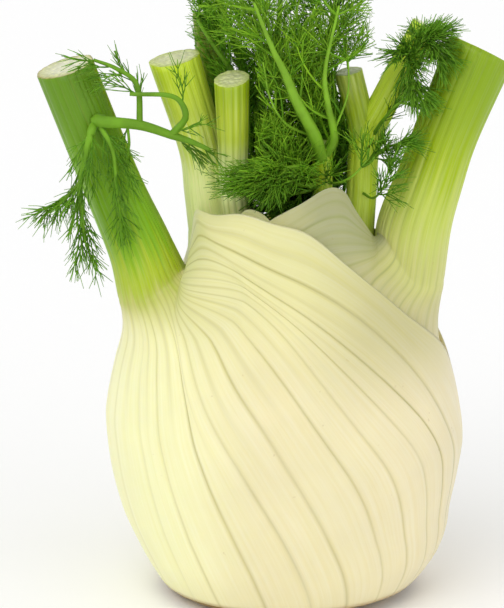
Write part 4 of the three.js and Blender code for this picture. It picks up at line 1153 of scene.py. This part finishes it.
forkTufts = {
    "seed": 59, "tones": tuftGreen, "shade": 0.1, "levels": sparseLevels,
    "room": ((14, -20, 112), (56, 5, 167)),
    "closed": (((12, -30, 134), (20.5, 5, 156)),),
    "ribs": [
        rib([36.4, 1, 158.2, 0.9], [37.6, -3, 161, 0.6], [39.5, -6, 159.5, 0.4], [42.6, -9, 155.5, 0.3],
            stems={"nodes": 11, "length": 6, "first": 0.02}, sprigs=short),
        rib([33.5, -1, 152, 0.6], [35, -5.5, 155.5, 0.5], [38, -6.5, 160, 0.4], [41.5, -6, 161, 0.3],
            stems={"nodes": 12, "length": 6, "first": 0.02}, sprigs=short),
        rib([35.4, 1, 155.2, 0.8], [33.6, -3, 156, 0.6], [34, -6, 150.5, 0.4], [35.4, -8.5, 147, 0.3],
            stems={"nodes": 12, "length": 7, "first": 0.02}),
        rib([24, 2, 131, 0.7], [27.5, -4, 138, 0.5], [31.5, -7.5, 142.8, 0.35], [35.5, -9.5, 142, 0.25],
            stems={"nodes": 7, "length": 6, "pair": 1}, sprigs=short),
        rib([22, 0, 124, 0.7], [25.4, -5, 128, 0.5], [28.5, -8.5, 131, 0.35], [31, -9.5, 132, 0.25],
            stems={"nodes": 7, "length": 6.5}, sprigs=short),
        rib([22, 0, 116, 0.4], [24.4, -6, 116, 0.35], [26.5, -10, 119, 0.3], [28.5, -11, 125, 0.2],
            stems={"nodes": 7, "length": 7}),
    ],
}
for nodeName, pieceName, spray in (
    ("leaf_young", "frontBlade", frontBush), ("leaf_inner", "backBlade", backBush),
    ("leaf_left", "leftTufts", leftTufts), ("leaf_fork", "forkTufts", forkTufts),
):
    addPiece(blade(pieceName, spray), nodeName)


# A plain pale floor and sky, with a very soft sun from the upper left front and a softer one, lower,
# from the right of the front. Each sun's spread and turns are in degrees.
studio = {"floor": "#fefefe", "sky": 0.7}
suns = {
    "softSun": {"energy": 0.95, "spread": 50, "tilt": 38, "turn": -38},
    "softFill": {"energy": 0.5, "spread": 70, "tilt": 62, "turn": 58},
}
floorMesh = bpy.data.meshes.new("paleFloor")
floorMesh.from_pydata([(-4, -4, 0), (4, -4, 0), (4, 4, 0), (-4, 4, 0)], [], [(0, 1, 2, 3)])
paleFloor = bpy.data.objects.new("paleFloor", floorMesh)
bpy.context.scene.collection.objects.link(paleFloor)
paper = {"Base Color": (*hexColour(studio["floor"]), 1), "Roughness": 0.9}
floorMesh.materials.append(newMaterial("mattPaperSweep", paper)[0])

sky = bpy.data.worlds.new("softWhiteRoom")
sky.use_nodes = True
skyColour = sky.node_tree.nodes["Background"]
skyColour.inputs[0].default_value = (1, 1, 1, 1)
skyColour.inputs[1].default_value = studio["sky"]
bpy.context.scene.world = sky

for name, sun in suns.items():
    light = bpy.data.lights.new(name, "SUN")
    light.energy = sun["energy"]
    light.angle = sun["spread"] * degree
    lamp = bpy.data.objects.new(name, light)
    lamp.rotation_euler = (sun["tilt"] * degree, 0, sun["turn"] * degree)
    bpy.context.scene.collection.objects.link(lamp)
bpy.context.scene.view_settings.view_transform = "Standard"

print("stage and light set")
